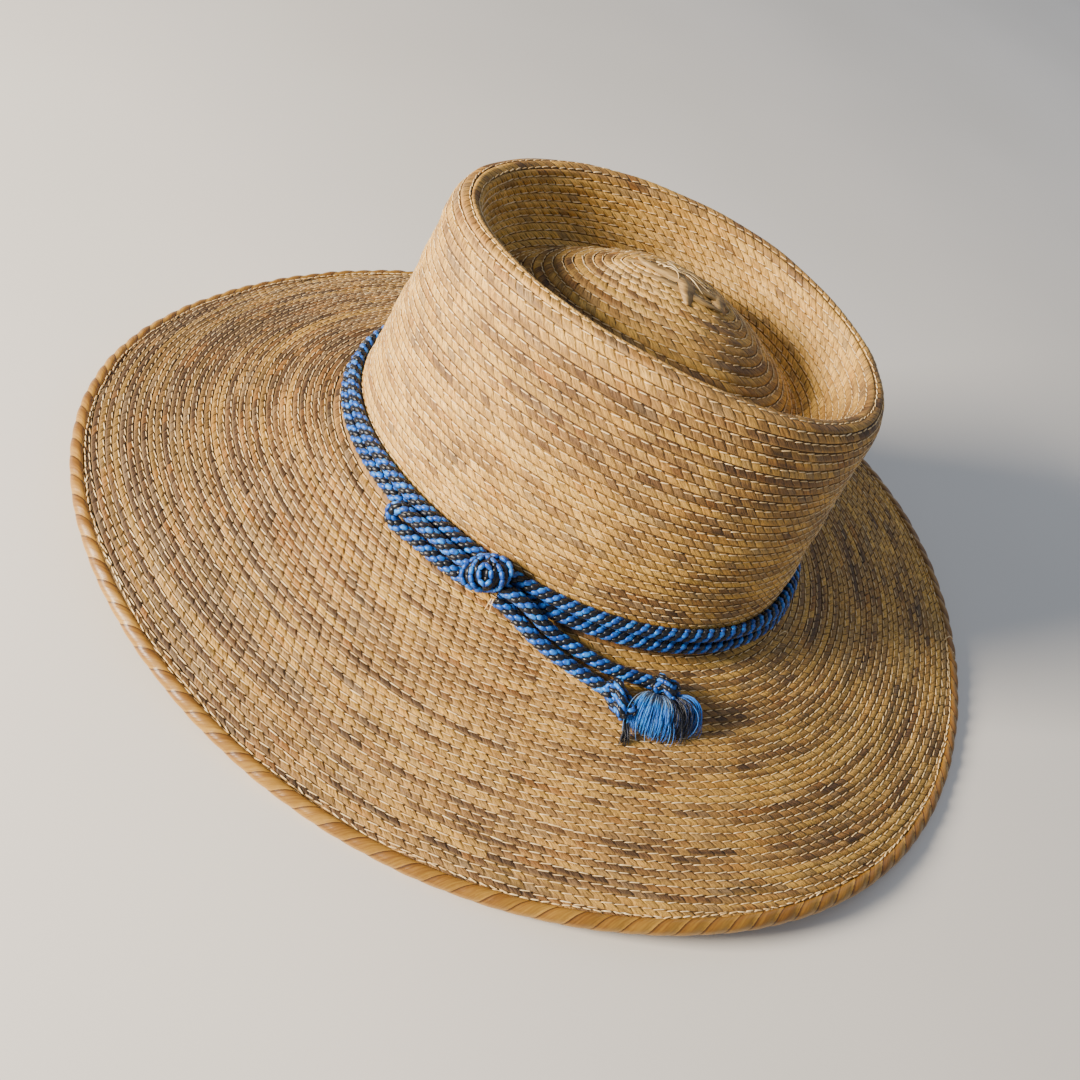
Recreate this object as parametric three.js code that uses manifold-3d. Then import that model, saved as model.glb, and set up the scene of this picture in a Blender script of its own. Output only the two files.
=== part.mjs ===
// Straw hat sewn from one long palm-leaf braid: crown pressed in on top, wide drooping brim,
// leaf-bound edge and a doubled blue and black cord tied round the crown.
// Millimetres, +Z up. The front faces -Y and the wearer's left, the side of the knot, is +X.
// Shapes are worked out in the hat's own frame, with the crown upright and z = 0 at the foot
// of the crown, and then tilted to the way the hat rests on its brim.
import * as THREE from 'three';
import { mergeVertices } from 'three/addons/utils/BufferGeometryUtils.js';
import Module from 'manifold-3d';

const wasm = await Module();
wasm.setup();

// Head oval at the foot of the crown, outside, and the oval of its upper rim.
const FOOT = { halfLength: 106.4, halfWidth: 85.5 };
const RIM = { halfLength: 93.0, halfWidth: 72.6, height: 109.7, shiftX: -1.1, shiftY: -6.0 };
const WIDER_AT_BACK = 0.048; // share by which the oval is wider behind and narrower in front
const RIM_WAVE = [
  { turns: 1, cosine: 1.5, sine: 0.9 },
  { turns: 2, cosine: 2.5, sine: -0.3 },
];

// The pressed top, from the outer line of the rim over its ridge and down to the valley. The
// side of the crown ends at the first seam row and its tip starts at the second.
const PRESS = [
  { place: 'shoulder', inset: -0.5, drop: 4.5 },
  { place: 'outer curve', inset: 1.3, drop: 1.3 },
  { place: 'ridge', inset: 4.5, drop: 0.0 },
  { place: 'inner curve', inset: 7.7, drop: 1.3 },
  { place: 'side seam', inset: 9.3, drop: 4.85 },
  { place: 'tip seam', inset: 9.4, drop: 5.15 },
  { place: 'inner wall', inset: 12.0, drop: 13.0 },
  { place: 'lower inner wall', inset: 16.5, drop: 21.5 },
  { place: 'valley', inset: 24.5, drop: 27.0 },
];
const SEAM = PRESS.findIndex((row) => row.place === 'side seam');
const DOME = { rise: 22.0, steps: 5, tipX: -3.0, tipY: -2.5, tipRoundness: 0.25, swell: 1.25 };

// The brim: its width over the straw and the height of its edge all the way round.
const BRIM_WIDTH = 111.2;
const EDGE_DROP = -28.9;
const EDGE_WAVE = [
  { turns: 1, cosine: -2.0, sine: 19.9 },
  { turns: 2, cosine: -2.7, sine: -3.9 },
  { turns: 3, cosine: 0.0, sine: 2.9 },
  { turns: 4, cosine: -1.6, sine: 3.0 },
];
const BRIM_BOW = 1.08; // above 1 the brim leaves the crown flatter than it ends
const BREAK_RADIUS = 9.0; // rounding between crown and brim
const WALL_LEAN = 0.118; // the wall leans inwards by this much of its height
const STRAW = 2.0; // two overlapping rows of braid
const GAP = 0.3;

// The leaf strip that binds the edge, as a section across it: out from the edge, up from the middle.
const BINDING_SECTION = [
  { out: -1.0, up: 1.3 },
  { out: -1.0, up: -1.3 },
  { out: -9.0, up: -1.3 },
  { out: -8.6, up: -2.0 },
  { out: -0.9, up: -2.2 },
  { out: 0.9, up: -1.2 },
  { out: 0.9, up: 1.2 },
  { out: -0.9, up: 2.2 },
  { out: -8.6, up: 2.0 },
  { out: -9.0, up: 1.3 },
];
const EDGE_INSET = 2.5; // the braid ends this far inside the outline

// The cord: one braided cord, doubled round the crown and held by a round knot.
const CORD = 5.6;
const CORD_SIDES = 8;
const BAND = [
  { name: 'band_cord_upper', height: 12.3, clear: 0.4, from: -16.0, to: 341.6 },
  { name: 'band_cord_lower', height: 6.5, clear: 1.1, from: -16.0, to: 341.6 },
];
const KNOT = { angle: -17.2, out: 7.4, height: 9.6, across: 7.6, up: 8.0, along: 9.6 };

// Middle line of the loop: angle round the hat in degrees, level distance out from the foot of
// the crown and height above that foot.
const LOOP_ROUTE = [
  { angle: -21.0, out: 7.8, height: 10.2 },
  { angle: -25.0, out: 7.7, height: 10.3 },
  { angle: -29.0, out: 7.6, height: 10.4 },
  { angle: -33.0, out: 7.6, height: 10.5 },
  { angle: -36.5, out: 7.9, height: 10.2 },
  { angle: -38.6, out: 8.2, height: 9.7 },
  { angle: -40.0, out: 8.9, height: 8.3 },
  { angle: -40.6, out: 9.3, height: 6.1 },
  { angle: -40.0, out: 9.7, height: 3.9 },
  { angle: -38.6, out: 9.7, height: 2.7 },
  { angle: -36.5, out: 9.2, height: 2.7 },
  { angle: -33.0, out: 8.7, height: 3.0 },
  { angle: -29.0, out: 8.5, height: 3.1 },
  { angle: -25.0, out: 8.5, height: 3.1 },
  { angle: -21.0, out: 8.4, height: 3.3 },
];

// The two tails, which lie on the brim: angle and distance out as above, and how far the middle
// of the cord is above the straw. Knots and locks are long drops from one place to another.
const TAILS = [
  {
    side: 'a',
    route: [
      { angle: -13.0, out: 7.2, lift: 4.6 },
      { angle: -9.0, out: 8.0, lift: 3.6 },
      { angle: -5.8, out: 10.5, lift: 3.4 },
      { angle: -3.2, out: 12.8, lift: 3.4 },
      { angle: -0.2, out: 14.9, lift: 3.4 },
      { angle: 2.4, out: 16.7, lift: 3.4 },
      { angle: 5.3, out: 18.5, lift: 3.4 },
      { angle: 8.3, out: 20.3, lift: 3.4 },
      { angle: 10.8, out: 22.5, lift: 3.6 },
      { angle: 13.0, out: 25.5, lift: 4.6 },
    ],
    knot: {
      from: { angle: 13.5, out: 23.6, lift: 5.4 },
      to: { angle: 15.6, out: 32.0, lift: 5.2 },
      thick: 4.8,
    },
    locks: [
      { from: { angle: 15.3, out: 35.0, lift: 3.2 }, to: { angle: 16.6, out: 40.5, lift: 2.4 }, thick: 1.9 },
      { from: { angle: 15.9, out: 35.0, lift: 3.4 }, to: { angle: 17.6, out: 38.6, lift: 2.4 }, thick: 1.7 },
    ],
  },
  {
    side: 'b',
    route: [
      { angle: -13.0, out: 7.6, lift: 12.0 },
      { angle: -9.6, out: 7.8, lift: 11.8 },
      { angle: -7.0, out: 8.2, lift: 11.0 },
      { angle: -4.6, out: 8.7, lift: 9.2 },
      { angle: -1.8, out: 8.8, lift: 6.2 },
      { angle: 1.4, out: 9.2, lift: 3.8 },
      { angle: 4.6, out: 10.4, lift: 3.4 },
      { angle: 7.6, out: 12.0, lift: 3.4 },
      { angle: 10.8, out: 13.6, lift: 3.4 },
      { angle: 13.6, out: 14.8, lift: 3.4 },
      { angle: 16.8, out: 15.6, lift: 3.4 },
      { angle: 20.0, out: 16.8, lift: 3.8 },
      { angle: 22.2, out: 18.8, lift: 4.8 },
    ],
    knot: {
      from: { angle: 23.4, out: 19.6, lift: 5.3 },
      to: { angle: 24.4, out: 21.8, lift: 5.3 },
      thick: 4.9,
    },
    locks: [
      { from: { angle: 22.0, out: 26.5, lift: 5.6 }, to: { angle: 19.0, out: 33.0, lift: 4.0 }, thick: 3.4 },
      { from: { angle: 23.0, out: 27.0, lift: 6.8 }, to: { angle: 21.4, out: 39.0, lift: 3.6 }, thick: 4.0 },
      { from: { angle: 24.4, out: 27.0, lift: 7.2 }, to: { angle: 25.0, out: 38.6, lift: 3.6 }, thick: 4.2 },
      { from: { angle: 26.0, out: 26.0, lift: 6.4 }, to: { angle: 28.4, out: 35.4, lift: 3.6 }, thick: 3.8 },
      { from: { angle: 27.0, out: 24.5, lift: 5.2 }, to: { angle: 30.4, out: 30.6, lift: 3.6 }, thick: 3.2 },
    ],
  },
];

// How the hat rests on its brim: turns about X and Y from the crown upright, and how much of
// the binding is worn flat where it touches.
const REST = { pitch: -5.445, roll: -0.792, wornFlat: 0.45 };

// Fineness of the meshes.
const CROWN_SEGMENTS = 48;
const WALL_STEPS = 4;
const BRIM_SEGMENTS = 60;
const BRIM_STEPS = 6;
const BREAK_STEPS = 4;
const BAND_STEPS = 46;
const LOOP_STEPS = 30;
const TAIL_STEPS = 18;

const COLOURS = {
  straw: { color: '#b98d54', roughness: 0.72, metalness: 0 },
  binding: { color: '#c8924a', roughness: 0.55, metalness: 0 },
  cord: { color: '#1f4f96', roughness: 0.5, metalness: 0 },
  tassel: { color: '#2f6fb8', roughness: 0.6, metalness: 0 },
};

const radians = THREE.MathUtils.degToRad;
const wave = (angle, terms) => terms.reduce(
  (sum, { turns, cosine, sine }) => sum + cosine * Math.cos(turns * angle) + sine * Math.sin(turns * angle),
  0,
);
const edgeHeight = (angle) => EDGE_DROP + wave(angle, EDGE_WAVE);

/** Point of an oval, wider behind than in front. */
function oval(angle, halfLength, halfWidth) {
  const x = halfWidth * Math.cos(angle) * (1 + WIDER_AT_BACK * Math.sin(angle));
  return new THREE.Vector2(x, halfLength * Math.sin(angle));
}

/** Level direction straight out from the foot oval. */
function outward(angle) {
  return new THREE.Vector2(Math.cos(angle) / FOOT.halfWidth, Math.sin(angle) / FOOT.halfLength).normalize();
}

/** Outer face of the crown's wall at a height above its foot. */
function wallPoint(angle, height) {
  const share = height / RIM.height;
  const ring = oval(
    angle,
    THREE.MathUtils.lerp(FOOT.halfLength, RIM.halfLength, share),
    THREE.MathUtils.lerp(FOOT.halfWidth, RIM.halfWidth, share),
  );
  return new THREE.Vector3(ring.x + RIM.shiftX * share, ring.y + RIM.shiftY * share, height);
}

/** Outer face of the pressed top at one row of the PRESS table. */
function pressPoint(angle, { inset, drop }) {
  const ring = oval(angle, RIM.halfLength - inset, RIM.halfWidth - inset);
  const height = RIM.height - drop + wave(angle, RIM_WAVE) * (1 - drop / RIM.height);
  return new THREE.Vector3(ring.x + RIM.shiftX, ring.y + RIM.shiftY, height);
}

/** Outer face of the dome; share runs from 1 at the valley to 0 at the tip. */
function domePoint(angle, share) {
  const valley = PRESS[PRESS.length - 1];
  const round = 1 + DOME.tipRoundness * (1 - share);
  const ring = oval(angle, (RIM.halfLength - valley.inset) * share, (RIM.halfWidth - valley.inset) * share * round);
  const rise = DOME.rise * (1 - share ** 2) ** DOME.swell;
  const height = RIM.height - valley.drop + rise + wave(angle, RIM_WAVE) * share ** 2;
  return new THREE.Vector3(
    ring.x + RIM.shiftX + DOME.tipX * (1 - share),
    ring.y + RIM.shiftY + DOME.tipY * (1 - share),
    height,
  );
}

/** Upper face of the brim, a level distance out from the crown's foot. */
function brimPoint(angle, out) {
  const edge = edgeHeight(angle);
  const reach = Math.sqrt(BRIM_WIDTH ** 2 - edge ** 2);
  const inRound = Math.max(BREAK_RADIUS - (out + WALL_LEAN * BREAK_RADIUS), 0);
  const rounding = BREAK_RADIUS - Math.sqrt(Math.max(BREAK_RADIUS ** 2 - inRound ** 2, 0));
  const height = edge * (Math.max(out, 0) / reach) ** BRIM_BOW + rounding;
  const at = oval(angle, FOOT.halfLength, FOOT.halfWidth).addScaledVector(outward(angle), out);
  return new THREE.Vector3(at.x, at.y, height);
}

/** Direction straight up from the brim's upper face. */
function brimNormal(angle, out) {
  const along = brimPoint(angle + 1e-3, out).sub(brimPoint(angle - 1e-3, out));
  const outwards = brimPoint(angle, out + 0.05).sub(brimPoint(angle, out - 0.05));
  return outwards.cross(along).normalize();
}

/**
 * Closed solid of revolution pressed into shape: a lathe of the given profile length whose
 * vertices are then placed one by one by place(angle, index).
 */
function pressedLathe(count, onAxis, segments, place) {
  const profile = Array.from({ length: count }, (_, k) => {
    const end = k === 0 || k === count - 1;
    return new THREE.Vector2(onAxis && end ? 0 : 1 + k, k);
  });
  if (!onAxis) profile.push(profile[0].clone());
  const geometry = new THREE.LatheGeometry(profile, segments);
  const position = geometry.attributes.position;
  for (let i = 0; i < position.count; i += 1) {
    const angle = (Math.floor(i / profile.length) % segments) * ((2 * Math.PI) / segments);
    const p = place(angle, (i % profile.length) % count);
    position.setXYZ(i, p.x, p.y, p.z);
  }
  return geometry;
}

/** Outer face of the crown, station by station from its foot to the middle of its tip. */
function crownStations() {
  const stations = [];
  for (let k = 0; k < WALL_STEPS; k += 1) {
    stations.push((angle) => {
      const shoulder = pressPoint(angle, PRESS[0]).z;
      return wallPoint(angle, THREE.MathUtils.lerp(BREAK_RADIUS + GAP / 2, shoulder, k / WALL_STEPS));
    });
  }
  for (const row of PRESS) stations.push((angle) => pressPoint(angle, row));
  for (let k = DOME.steps - 1; k >= 0; k -= 1) {
    stations.push((angle) => domePoint(angle, k / DOME.steps));
  }
  return stations;
}

/** A shell between two stations of the crown, closed over the middle where it reaches it. */
function crownGeometry(first, last) {
  const stations = crownStations();
  const middle = stations.length - 1;
  const seam = WALL_STEPS + SEAM;
  const inner = (angle, k) => {
    const p = stations[k](angle);
    if (k === middle) return p.setZ(p.z - STRAW);
    const below = Math.max(k - (k === seam + 1 ? 2 : 1), 0);
    const above = k + (k === seam ? 2 : 1);
    const across = stations[k](angle + 1e-3).sub(stations[k](angle - 1e-3));
    const normal = across.cross(stations[above](angle).sub(stations[below](angle))).normalize();
    if (k === 0) normal.setZ(0).normalize();
    return p.addScaledVector(normal, -STRAW);
  };
  const rings = last - first + 1;
  return pressedLathe(2 * rings, last === middle, CROWN_SEGMENTS, (angle, index) => (
    index < rings ? inner(angle, last - index) : stations[first + index - rings](angle)
  ));
}

/** Distances out from the crown's foot at which the brim has a ring of vertices. */
function brimOuts(angle) {
  const start = -WALL_LEAN * BREAK_RADIUS;
  const end = start + BREAK_RADIUS;
  const outs = [];
  for (let k = 0; k < BREAK_STEPS; k += 1) {
    outs.push(start + BREAK_RADIUS * (1 - Math.cos((k / BREAK_STEPS) * (Math.PI / 2))));
  }
  for (let k = 0; k <= BRIM_STEPS; k += 1) {
    outs.push(THREE.MathUtils.lerp(end, braidReach(angle), k / BRIM_STEPS));
  }
  return outs;
}

/** Reach of the braid: level distance from the crown's foot to where the braid ends. */
function braidReach(angle) {
  return Math.sqrt(BRIM_WIDTH ** 2 - edgeHeight(angle) ** 2) - EDGE_INSET;
}

/** The brim: a shell from the rounding at the crown's foot to the bound edge. */
function brimGeometry() {
  const rings = BREAK_STEPS + BRIM_STEPS + 1;
  const upper = (angle, k) => {
    const p = brimPoint(angle, brimOuts(angle)[k]);
    return k === 0 ? p.setZ(p.z - GAP / 2) : p;
  };
  const lower = (angle, k) => {
    const p = upper(angle, k);
    if (k === 0) {
      const out = outward(angle);
      return p.add(new THREE.Vector3(-out.x * STRAW, -out.y * STRAW, 0));
    }
    return p.addScaledVector(brimNormal(angle, brimOuts(angle)[k]), -STRAW);
  };
  return pressedLathe(2 * rings, false, BRIM_SEGMENTS, (angle, index) => (
    index < rings ? upper(angle, rings - 1 - index) : lower(angle, index - rings)
  ));
}

/** The binding: the section's points laid out across the brim's edge, all the way round. */
function bindingGeometry() {
  return pressedLathe(BINDING_SECTION.length, false, BRIM_SEGMENTS, (angle, index) => {
    const { out, up } = BINDING_SECTION[index];
    const reach = Math.sqrt(BRIM_WIDTH ** 2 - edgeHeight(angle) ** 2);
    const edge = brimPoint(angle, reach);
    const along = edge.clone().sub(brimPoint(angle, reach - 1)).normalize();
    return edge
      .addScaledVector(brimNormal(angle, reach - 1), up - STRAW / 2)
      .addScaledVector(along, out - 1);
  });
}

/** A round cord along a smooth curve through the points. */
function cordGeometry(points, steps) {
  const section = new THREE.Shape();
  for (let k = 0; k < CORD_SIDES; k += 1) {
    const a = (k / CORD_SIDES) * 2 * Math.PI;
    const [x, y] = [(CORD / 2) * Math.cos(a), (CORD / 2) * Math.sin(a)];
    if (k === 0) section.moveTo(x, y);
    else section.lineTo(x, y);
  }
  const extrudePath = new THREE.CatmullRomCurve3(points, false, 'centripetal');
  return new THREE.ExtrudeGeometry(section, { steps, extrudePath, bevelEnabled: false });
}

/** A point over the brim, by its height above the straw or above the crown's foot. */
function overBrim({ angle, out, lift, height }) {
  const p = brimPoint(radians(angle), out);
  return p.setZ(height ?? p.z + lift);
}

/** Middle of a band cord, held against the foot of the crown. */
function onCrown(angle, height, clear) {
  const out = outward(angle);
  const distance = CORD / 2 + clear;
  const face = wallPoint(angle, height);
  return face.add(new THREE.Vector3(out.x * distance, out.y * distance, 0));
}

/** Middle line of a band cord all the way round, from the knot to the knot. */
function bandPoints({ height, clear, from, to }) {
  const count = 40;
  return Array.from({ length: count + 1 }, (_, k) => (
    onCrown(radians(THREE.MathUtils.lerp(from, to, k / count)), height, clear)
  ));
}

/** The round knot that holds the band, or the room it needs. */
function knotGeometry(room = 0) {
  const angle = radians(KNOT.angle);
  const out = outward(angle);
  const foot = oval(angle, FOOT.halfLength, FOOT.halfWidth).addScaledVector(out, KNOT.out);
  const ball = new THREE.SphereGeometry(1, 14, 9);
  ball.scale(KNOT.across + room, KNOT.along + room, KNOT.up + room);
  ball.rotateZ(out.angle());
  return ball.translate(foot.x, foot.y, KNOT.height);
}

/** A long drop over the brim from one place to another, or the room it needs. */
function dropGeometry({ from, to, thick }, room = 0) {
  const start = overBrim(from);
  const end = overBrim(to);
  const along = end.clone().sub(start);
  const halfLength = along.length() / 2 + 0.75 * thick;
  along.normalize();
  const side = new THREE.Vector3(0, 0, 1).cross(along).normalize();
  const up = along.clone().cross(side);
  const middle = start.add(end).multiplyScalar(0.5);
  const drop = new THREE.SphereGeometry(1, 9, 7).rotateZ(Math.PI / 2);
  drop.scale(halfLength + room, thick + room, 0.9 * thick + room);
  drop.applyMatrix4(new THREE.Matrix4().makeBasis(along, side, up).setPosition(middle));
  return drop;
}

/** Turns a geometry into a solid that can be joined and cut. */
function toSolid(geometry) {
  const bare = new THREE.BufferGeometry();
  bare.setAttribute('position', geometry.attributes.position.clone());
  if (geometry.index) bare.setIndex(geometry.index.clone());
  const merged = mergeVertices(bare, 1e-4);
  const index = [];
  const source = merged.index.array;
  for (let i = 0; i < source.length; i += 3) {
    const [a, b, c] = [source[i], source[i + 1], source[i + 2]];
    if (a !== b && b !== c && c !== a) index.push(a, b, c);
  }
  return new wasm.Manifold(new wasm.Mesh({
    numProp: 3,
    vertProperties: new Float32Array(merged.attributes.position.array),
    triVerts: new Uint32Array(index),
  }));
}

/** Turns a solid back into a geometry. */
function toGeometry(solid) {
  const mesh = solid.getMesh();
  const geometry = new THREE.BufferGeometry();
  const points = new Float32Array((mesh.vertProperties.length / mesh.numProp) * 3);
  for (let i = 0; i < points.length / 3; i += 1) {
    for (let k = 0; k < 3; k += 1) points[3 * i + k] = mesh.vertProperties[i * mesh.numProp + k];
  }
  geometry.setAttribute('position', new THREE.BufferAttribute(points, 3));
  geometry.setIndex(new THREE.BufferAttribute(new Uint32Array(mesh.triVerts), 1));
  return geometry;
}

const cut = (geometry, ...cutters) => toGeometry(
  cutters.reduce((solid, cutter) => solid.subtract(toSolid(cutter)), toSolid(geometry)),
);
const join = (geometries) => toGeometry(
  geometries.slice(1).reduce((solid, next) => solid.add(toSolid(next)), toSolid(geometries[0])),
);

function named(name, geometry, finish) {
  const mesh = new THREE.Mesh(geometry, new THREE.MeshStandardMaterial(COLOURS[finish]));
  mesh.name = name;
  return mesh;
}

// Rest position: the tilt, then a shift that leaves the binding's worn flats at z = 0 and the
// middle of the outline at x = y = 0.
const tilt = new THREE.Matrix4().makeRotationFromEuler(
  new THREE.Euler(radians(REST.pitch), radians(REST.roll), 0, 'YXZ'),
);
const binding = bindingGeometry().applyMatrix4(tilt);
binding.computeBoundingBox();
const shift = binding.boundingBox.getCenter(new THREE.Vector3()).negate();
shift.z = -(binding.boundingBox.min.z + REST.wornFlat);
binding.translate(shift.x, shift.y, shift.z);
const belowFloor = new THREE.BoxGeometry(600, 600, 20).translate(0, 0, -10);

const hat = new THREE.Group();
hat.setRotationFromMatrix(tilt);
hat.position.copy(shift);

hat.add(named('crown_side', crownGeometry(0, WALL_STEPS + SEAM), 'straw'));
const middleStation = WALL_STEPS + PRESS.length + DOME.steps - 1;
hat.add(named('crown_tip', crownGeometry(WALL_STEPS + SEAM + 1, middleStation), 'straw'));
hat.add(named('brim', brimGeometry(), 'straw'));

const knotRoom = knotGeometry(GAP);
for (const row of BAND) {
  hat.add(named(row.name, cut(cordGeometry(bandPoints(row), BAND_STEPS), knotRoom), 'cord'));
}
const loop = cordGeometry(LOOP_ROUTE.map(overBrim), LOOP_STEPS);
hat.add(named('band_loop', cut(loop, knotRoom), 'cord'));
hat.add(named('band_knot', knotGeometry(), 'cord'));

for (const { side, route, knot, locks } of TAILS) {
  const knotSpace = dropGeometry(knot, GAP);
  const tail = cordGeometry(route.map(overBrim), TAIL_STEPS);
  hat.add(named(`tail_cord_${side}`, cut(tail, knotRoom, knotSpace), 'cord'));
  hat.add(named(`tail_knot_${side}`, dropGeometry(knot), 'cord'));
  const tassel = join(locks.map((lock) => dropGeometry(lock)));
  hat.add(named(`tassel_${side}`, cut(tassel, knotSpace), 'tassel'));
}

const strawHat = new THREE.Group();
strawHat.add(hat);
strawHat.add(named('brim_binding', cut(binding, belowFloor), 'binding'));

export default strawHat;
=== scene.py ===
"""Straw hat of sewn palm-leaf braid with a bound brim and a doubled blue and black cord."""
from functools import partial
import bmesh
import bpy
import numpy as np
from mathutils import Matrix


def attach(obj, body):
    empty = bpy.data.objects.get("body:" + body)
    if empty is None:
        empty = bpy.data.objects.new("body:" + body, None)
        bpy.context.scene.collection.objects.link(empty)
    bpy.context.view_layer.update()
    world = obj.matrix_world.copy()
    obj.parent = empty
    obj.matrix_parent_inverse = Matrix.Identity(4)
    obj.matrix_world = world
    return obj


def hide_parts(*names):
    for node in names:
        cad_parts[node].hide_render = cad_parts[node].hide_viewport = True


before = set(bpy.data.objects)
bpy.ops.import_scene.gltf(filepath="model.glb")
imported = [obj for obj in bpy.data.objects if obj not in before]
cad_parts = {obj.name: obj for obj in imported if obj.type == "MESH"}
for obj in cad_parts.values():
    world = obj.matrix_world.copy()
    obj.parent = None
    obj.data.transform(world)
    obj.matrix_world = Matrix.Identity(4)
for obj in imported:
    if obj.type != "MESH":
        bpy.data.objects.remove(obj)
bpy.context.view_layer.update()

# Millimetres, in the hat's own frame: the crown upright, z = 0 at its foot, front towards -Y,
# the side of the knot towards +X. rest() turns such points to the row frame, in metres.
# Half length and half width of the crown at its foot and its rim.
FOOT = (106.4, 85.5)
RIM = (93.0, 72.6)
RIM_HEIGHT = 109.7
RIM_SHIFT = (-1.1, -6.0)
WIDER_AT_BACK = 0.048
# A wave round the hat is terms of (times round, cosine part, sine part).
RIM_WAVE = ((1, 1.5, 0.9), (2, 2.5, -0.3))
# The valley is so far inside the rim and below it, and the dome rises from the valley.
VALLEY = (24.5, 27.0)
DOME_RISE = 24.5
DOME_FLARE = 0.25
DOME_ROUNDING = 1.25
# Half length of the slot where the braid begins, its place, and that of the dome's highest point.
SLOT = 13.0
SLOT_SHIFT = (-9.0, -1.0)
PEAK_SHIFT = (-3.0, -2.5)
BRIM_WIDTH = 111.2
EDGE_DROP = -28.9
EDGE_WAVE = ((1, -2.0, 19.9), (2, -2.7, -3.9), (3, 0.0, 2.9), (4, -1.6, 3.0))
BRIM_BOW = 1.08
BREAK_RADIUS = 9.0
WALL_LEAN = 0.118
EDGE_INSET = 2.5
STRAW = 2.0
# The turn and shift, in degrees and mm, with which the hat rests on three places of its brim.
REST_PITCH = -5.445
REST_ROLL = -0.792
REST_SHIFT = (0.0014, -1.7748, 36.2283)

TURN = 2 * np.pi
# Small steps from which slopes are taken, in radians round the hat and in rows.
ANGLE_STEP = 1e-3
ROW_STEP = 0.05
UPWARDS = np.array((0.0, 0.0, 1.0))
PITCH_TURN = Matrix.Rotation(np.radians(REST_PITCH), 3, "X")
ROLL_TURN = Matrix.Rotation(np.radians(REST_ROLL), 3, "Y")
REST_TURN = np.array(ROLL_TURN @ PITCH_TURN)


def rest(points):
    """Points of the hat's own frame, in mm, as it rests in the row frame, in metres."""
    return (np.asarray(points, float) @ REST_TURN.T + REST_SHIFT) * 0.001


def turned(directions):
    """Directions of the hat's own frame as they point in the row frame."""
    return np.asarray(directions, float) @ REST_TURN.T


def unit(vectors):
    """The same vectors, each one long."""
    size = np.linalg.norm(vectors, axis=-1, keepdims=True)
    return vectors / np.maximum(size, 1e-9)


def wave(t, terms):
    """Sum of a few waves round the hat."""
    return sum(c * np.cos(n * t) + s * np.sin(n * t) for n, c, s in terms)


def oval(t, half_length, half_width):
    """Point of the head's oval, wider behind than in front."""
    x = half_width * np.cos(t) * (1 + WIDER_AT_BACK * np.sin(t))
    return x, half_length * np.sin(t)


def outward(t):
    """Level direction straight out from the foot of the crown."""
    x, y = np.cos(t) / FOOT[1], np.sin(t) / FOOT[0]
    size = np.hypot(x, y)
    return x / size, y / size


def wall_point(t, height):
    """Outer face of the crown's wall at a height above its foot."""
    share = height / RIM_HEIGHT
    x, y = oval(t, FOOT[0] + (RIM[0] - FOOT[0]) * share, FOOT[1] + (RIM[1] - FOOT[1]) * share)
    level = np.broadcast_to(height, np.shape(x))
    return np.stack([x + RIM_SHIFT[0] * share, y + RIM_SHIFT[1] * share, level], -1)


def press_point(t, inset, drop):
    """Outer face of the pressed top, that far inside the rim's line and below its ridge."""
    x, y = oval(t, RIM[0] - inset, RIM[1] - inset)
    z = RIM_HEIGHT - drop + wave(t, RIM_WAVE) * (1 - drop / RIM_HEIGHT)
    return np.stack([x + RIM_SHIFT[0], y + RIM_SHIFT[1], z], -1)


def dome_point(t, share):
    """Outer face of the dome, from 1 at the valley to 0 along the slot where the braid begins."""
    length, width = RIM[0] - VALLEY[0], RIM[1] - VALLEY[0]
    x, y = oval(t, SLOT + (length - SLOT) * share, width * share * (1 + DOME_FLARE * (1 - share)))
    x, y = x + SLOT_SHIFT[0] * (1 - share), y + SLOT_SHIFT[1] * (1 - share)
    # The height is that of the dome at this place, whose own rings run to a point.
    part = np.full_like(x, share)
    for _ in range(12):
        inner = 1 - part
        wide = width * (1 + DOME_FLARE * inner) * (1 + WIDER_AT_BACK * np.sin(t))
        part = np.hypot((x - PEAK_SHIFT[0] * inner) / wide, (y - PEAK_SHIFT[1] * inner) / length)
    part = np.clip(part, 0, 1)
    z = RIM_HEIGHT - VALLEY[1] + DOME_RISE * (1 - part ** 2) ** DOME_ROUNDING
    z = z + wave(t, RIM_WAVE) * part ** 2
    return np.stack([x + RIM_SHIFT[0], y + RIM_SHIFT[1], z], -1)


def edge_reach(t):
    """Level distance from the foot of the crown to the brim's edge, and the edge's height."""
    edge = EDGE_DROP + wave(t, EDGE_WAVE)
    return np.sqrt(BRIM_WIDTH ** 2 - edge ** 2), edge


def brim_point(t, out):
    """Upper face of the brim, a level distance out from the foot of the crown."""
    reach, edge = edge_reach(t)
    in_round = np.maximum(BREAK_RADIUS - (out + WALL_LEAN * BREAK_RADIUS), 0)
    rounding = BREAK_RADIUS - np.sqrt(np.maximum(BREAK_RADIUS ** 2 - in_round ** 2, 0))
    z = edge * (np.maximum(out, 0) / reach) ** BRIM_BOW + rounding
    x, y = oval(t, *FOOT)
    nx, ny = outward(t)
    return np.stack([x + nx * out, y + ny * out, z], -1)


def over_brim(degrees, out, lift):
    """A point that far above the brim's upper face."""
    p = brim_point(np.radians(degrees), np.asarray(out, float))
    p[..., 2] += lift
    return p


def run_along(path):
    """Length along a path up to each of its points."""
    return np.concatenate([[0], np.cumsum(np.linalg.norm(np.diff(path, axis=0), axis=1))])


def values_at(at, length, values):
    """Points or directions of a path at lengths along it."""
    return np.stack([np.interp(at, length, values[:, k]) for k in range(3)], -1)


def smooth_path(points, step):
    """Points every step along a smooth curve through the given ones."""
    points = np.asarray(points, float)
    knots = np.concatenate([[0], np.cumsum(np.linalg.norm(np.diff(points, axis=0), axis=1) ** 0.5)])
    slopes = np.gradient(points, knots, axis=0)
    fine = np.linspace(0, knots[-1], 40 * len(points))
    dense = hermite(fine, knots, points, slopes)
    length = run_along(dense)
    count = max(int(round(length[-1] / step)), 2)
    return values_at(np.linspace(0, length[-1], count + 1), length, dense)


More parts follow.
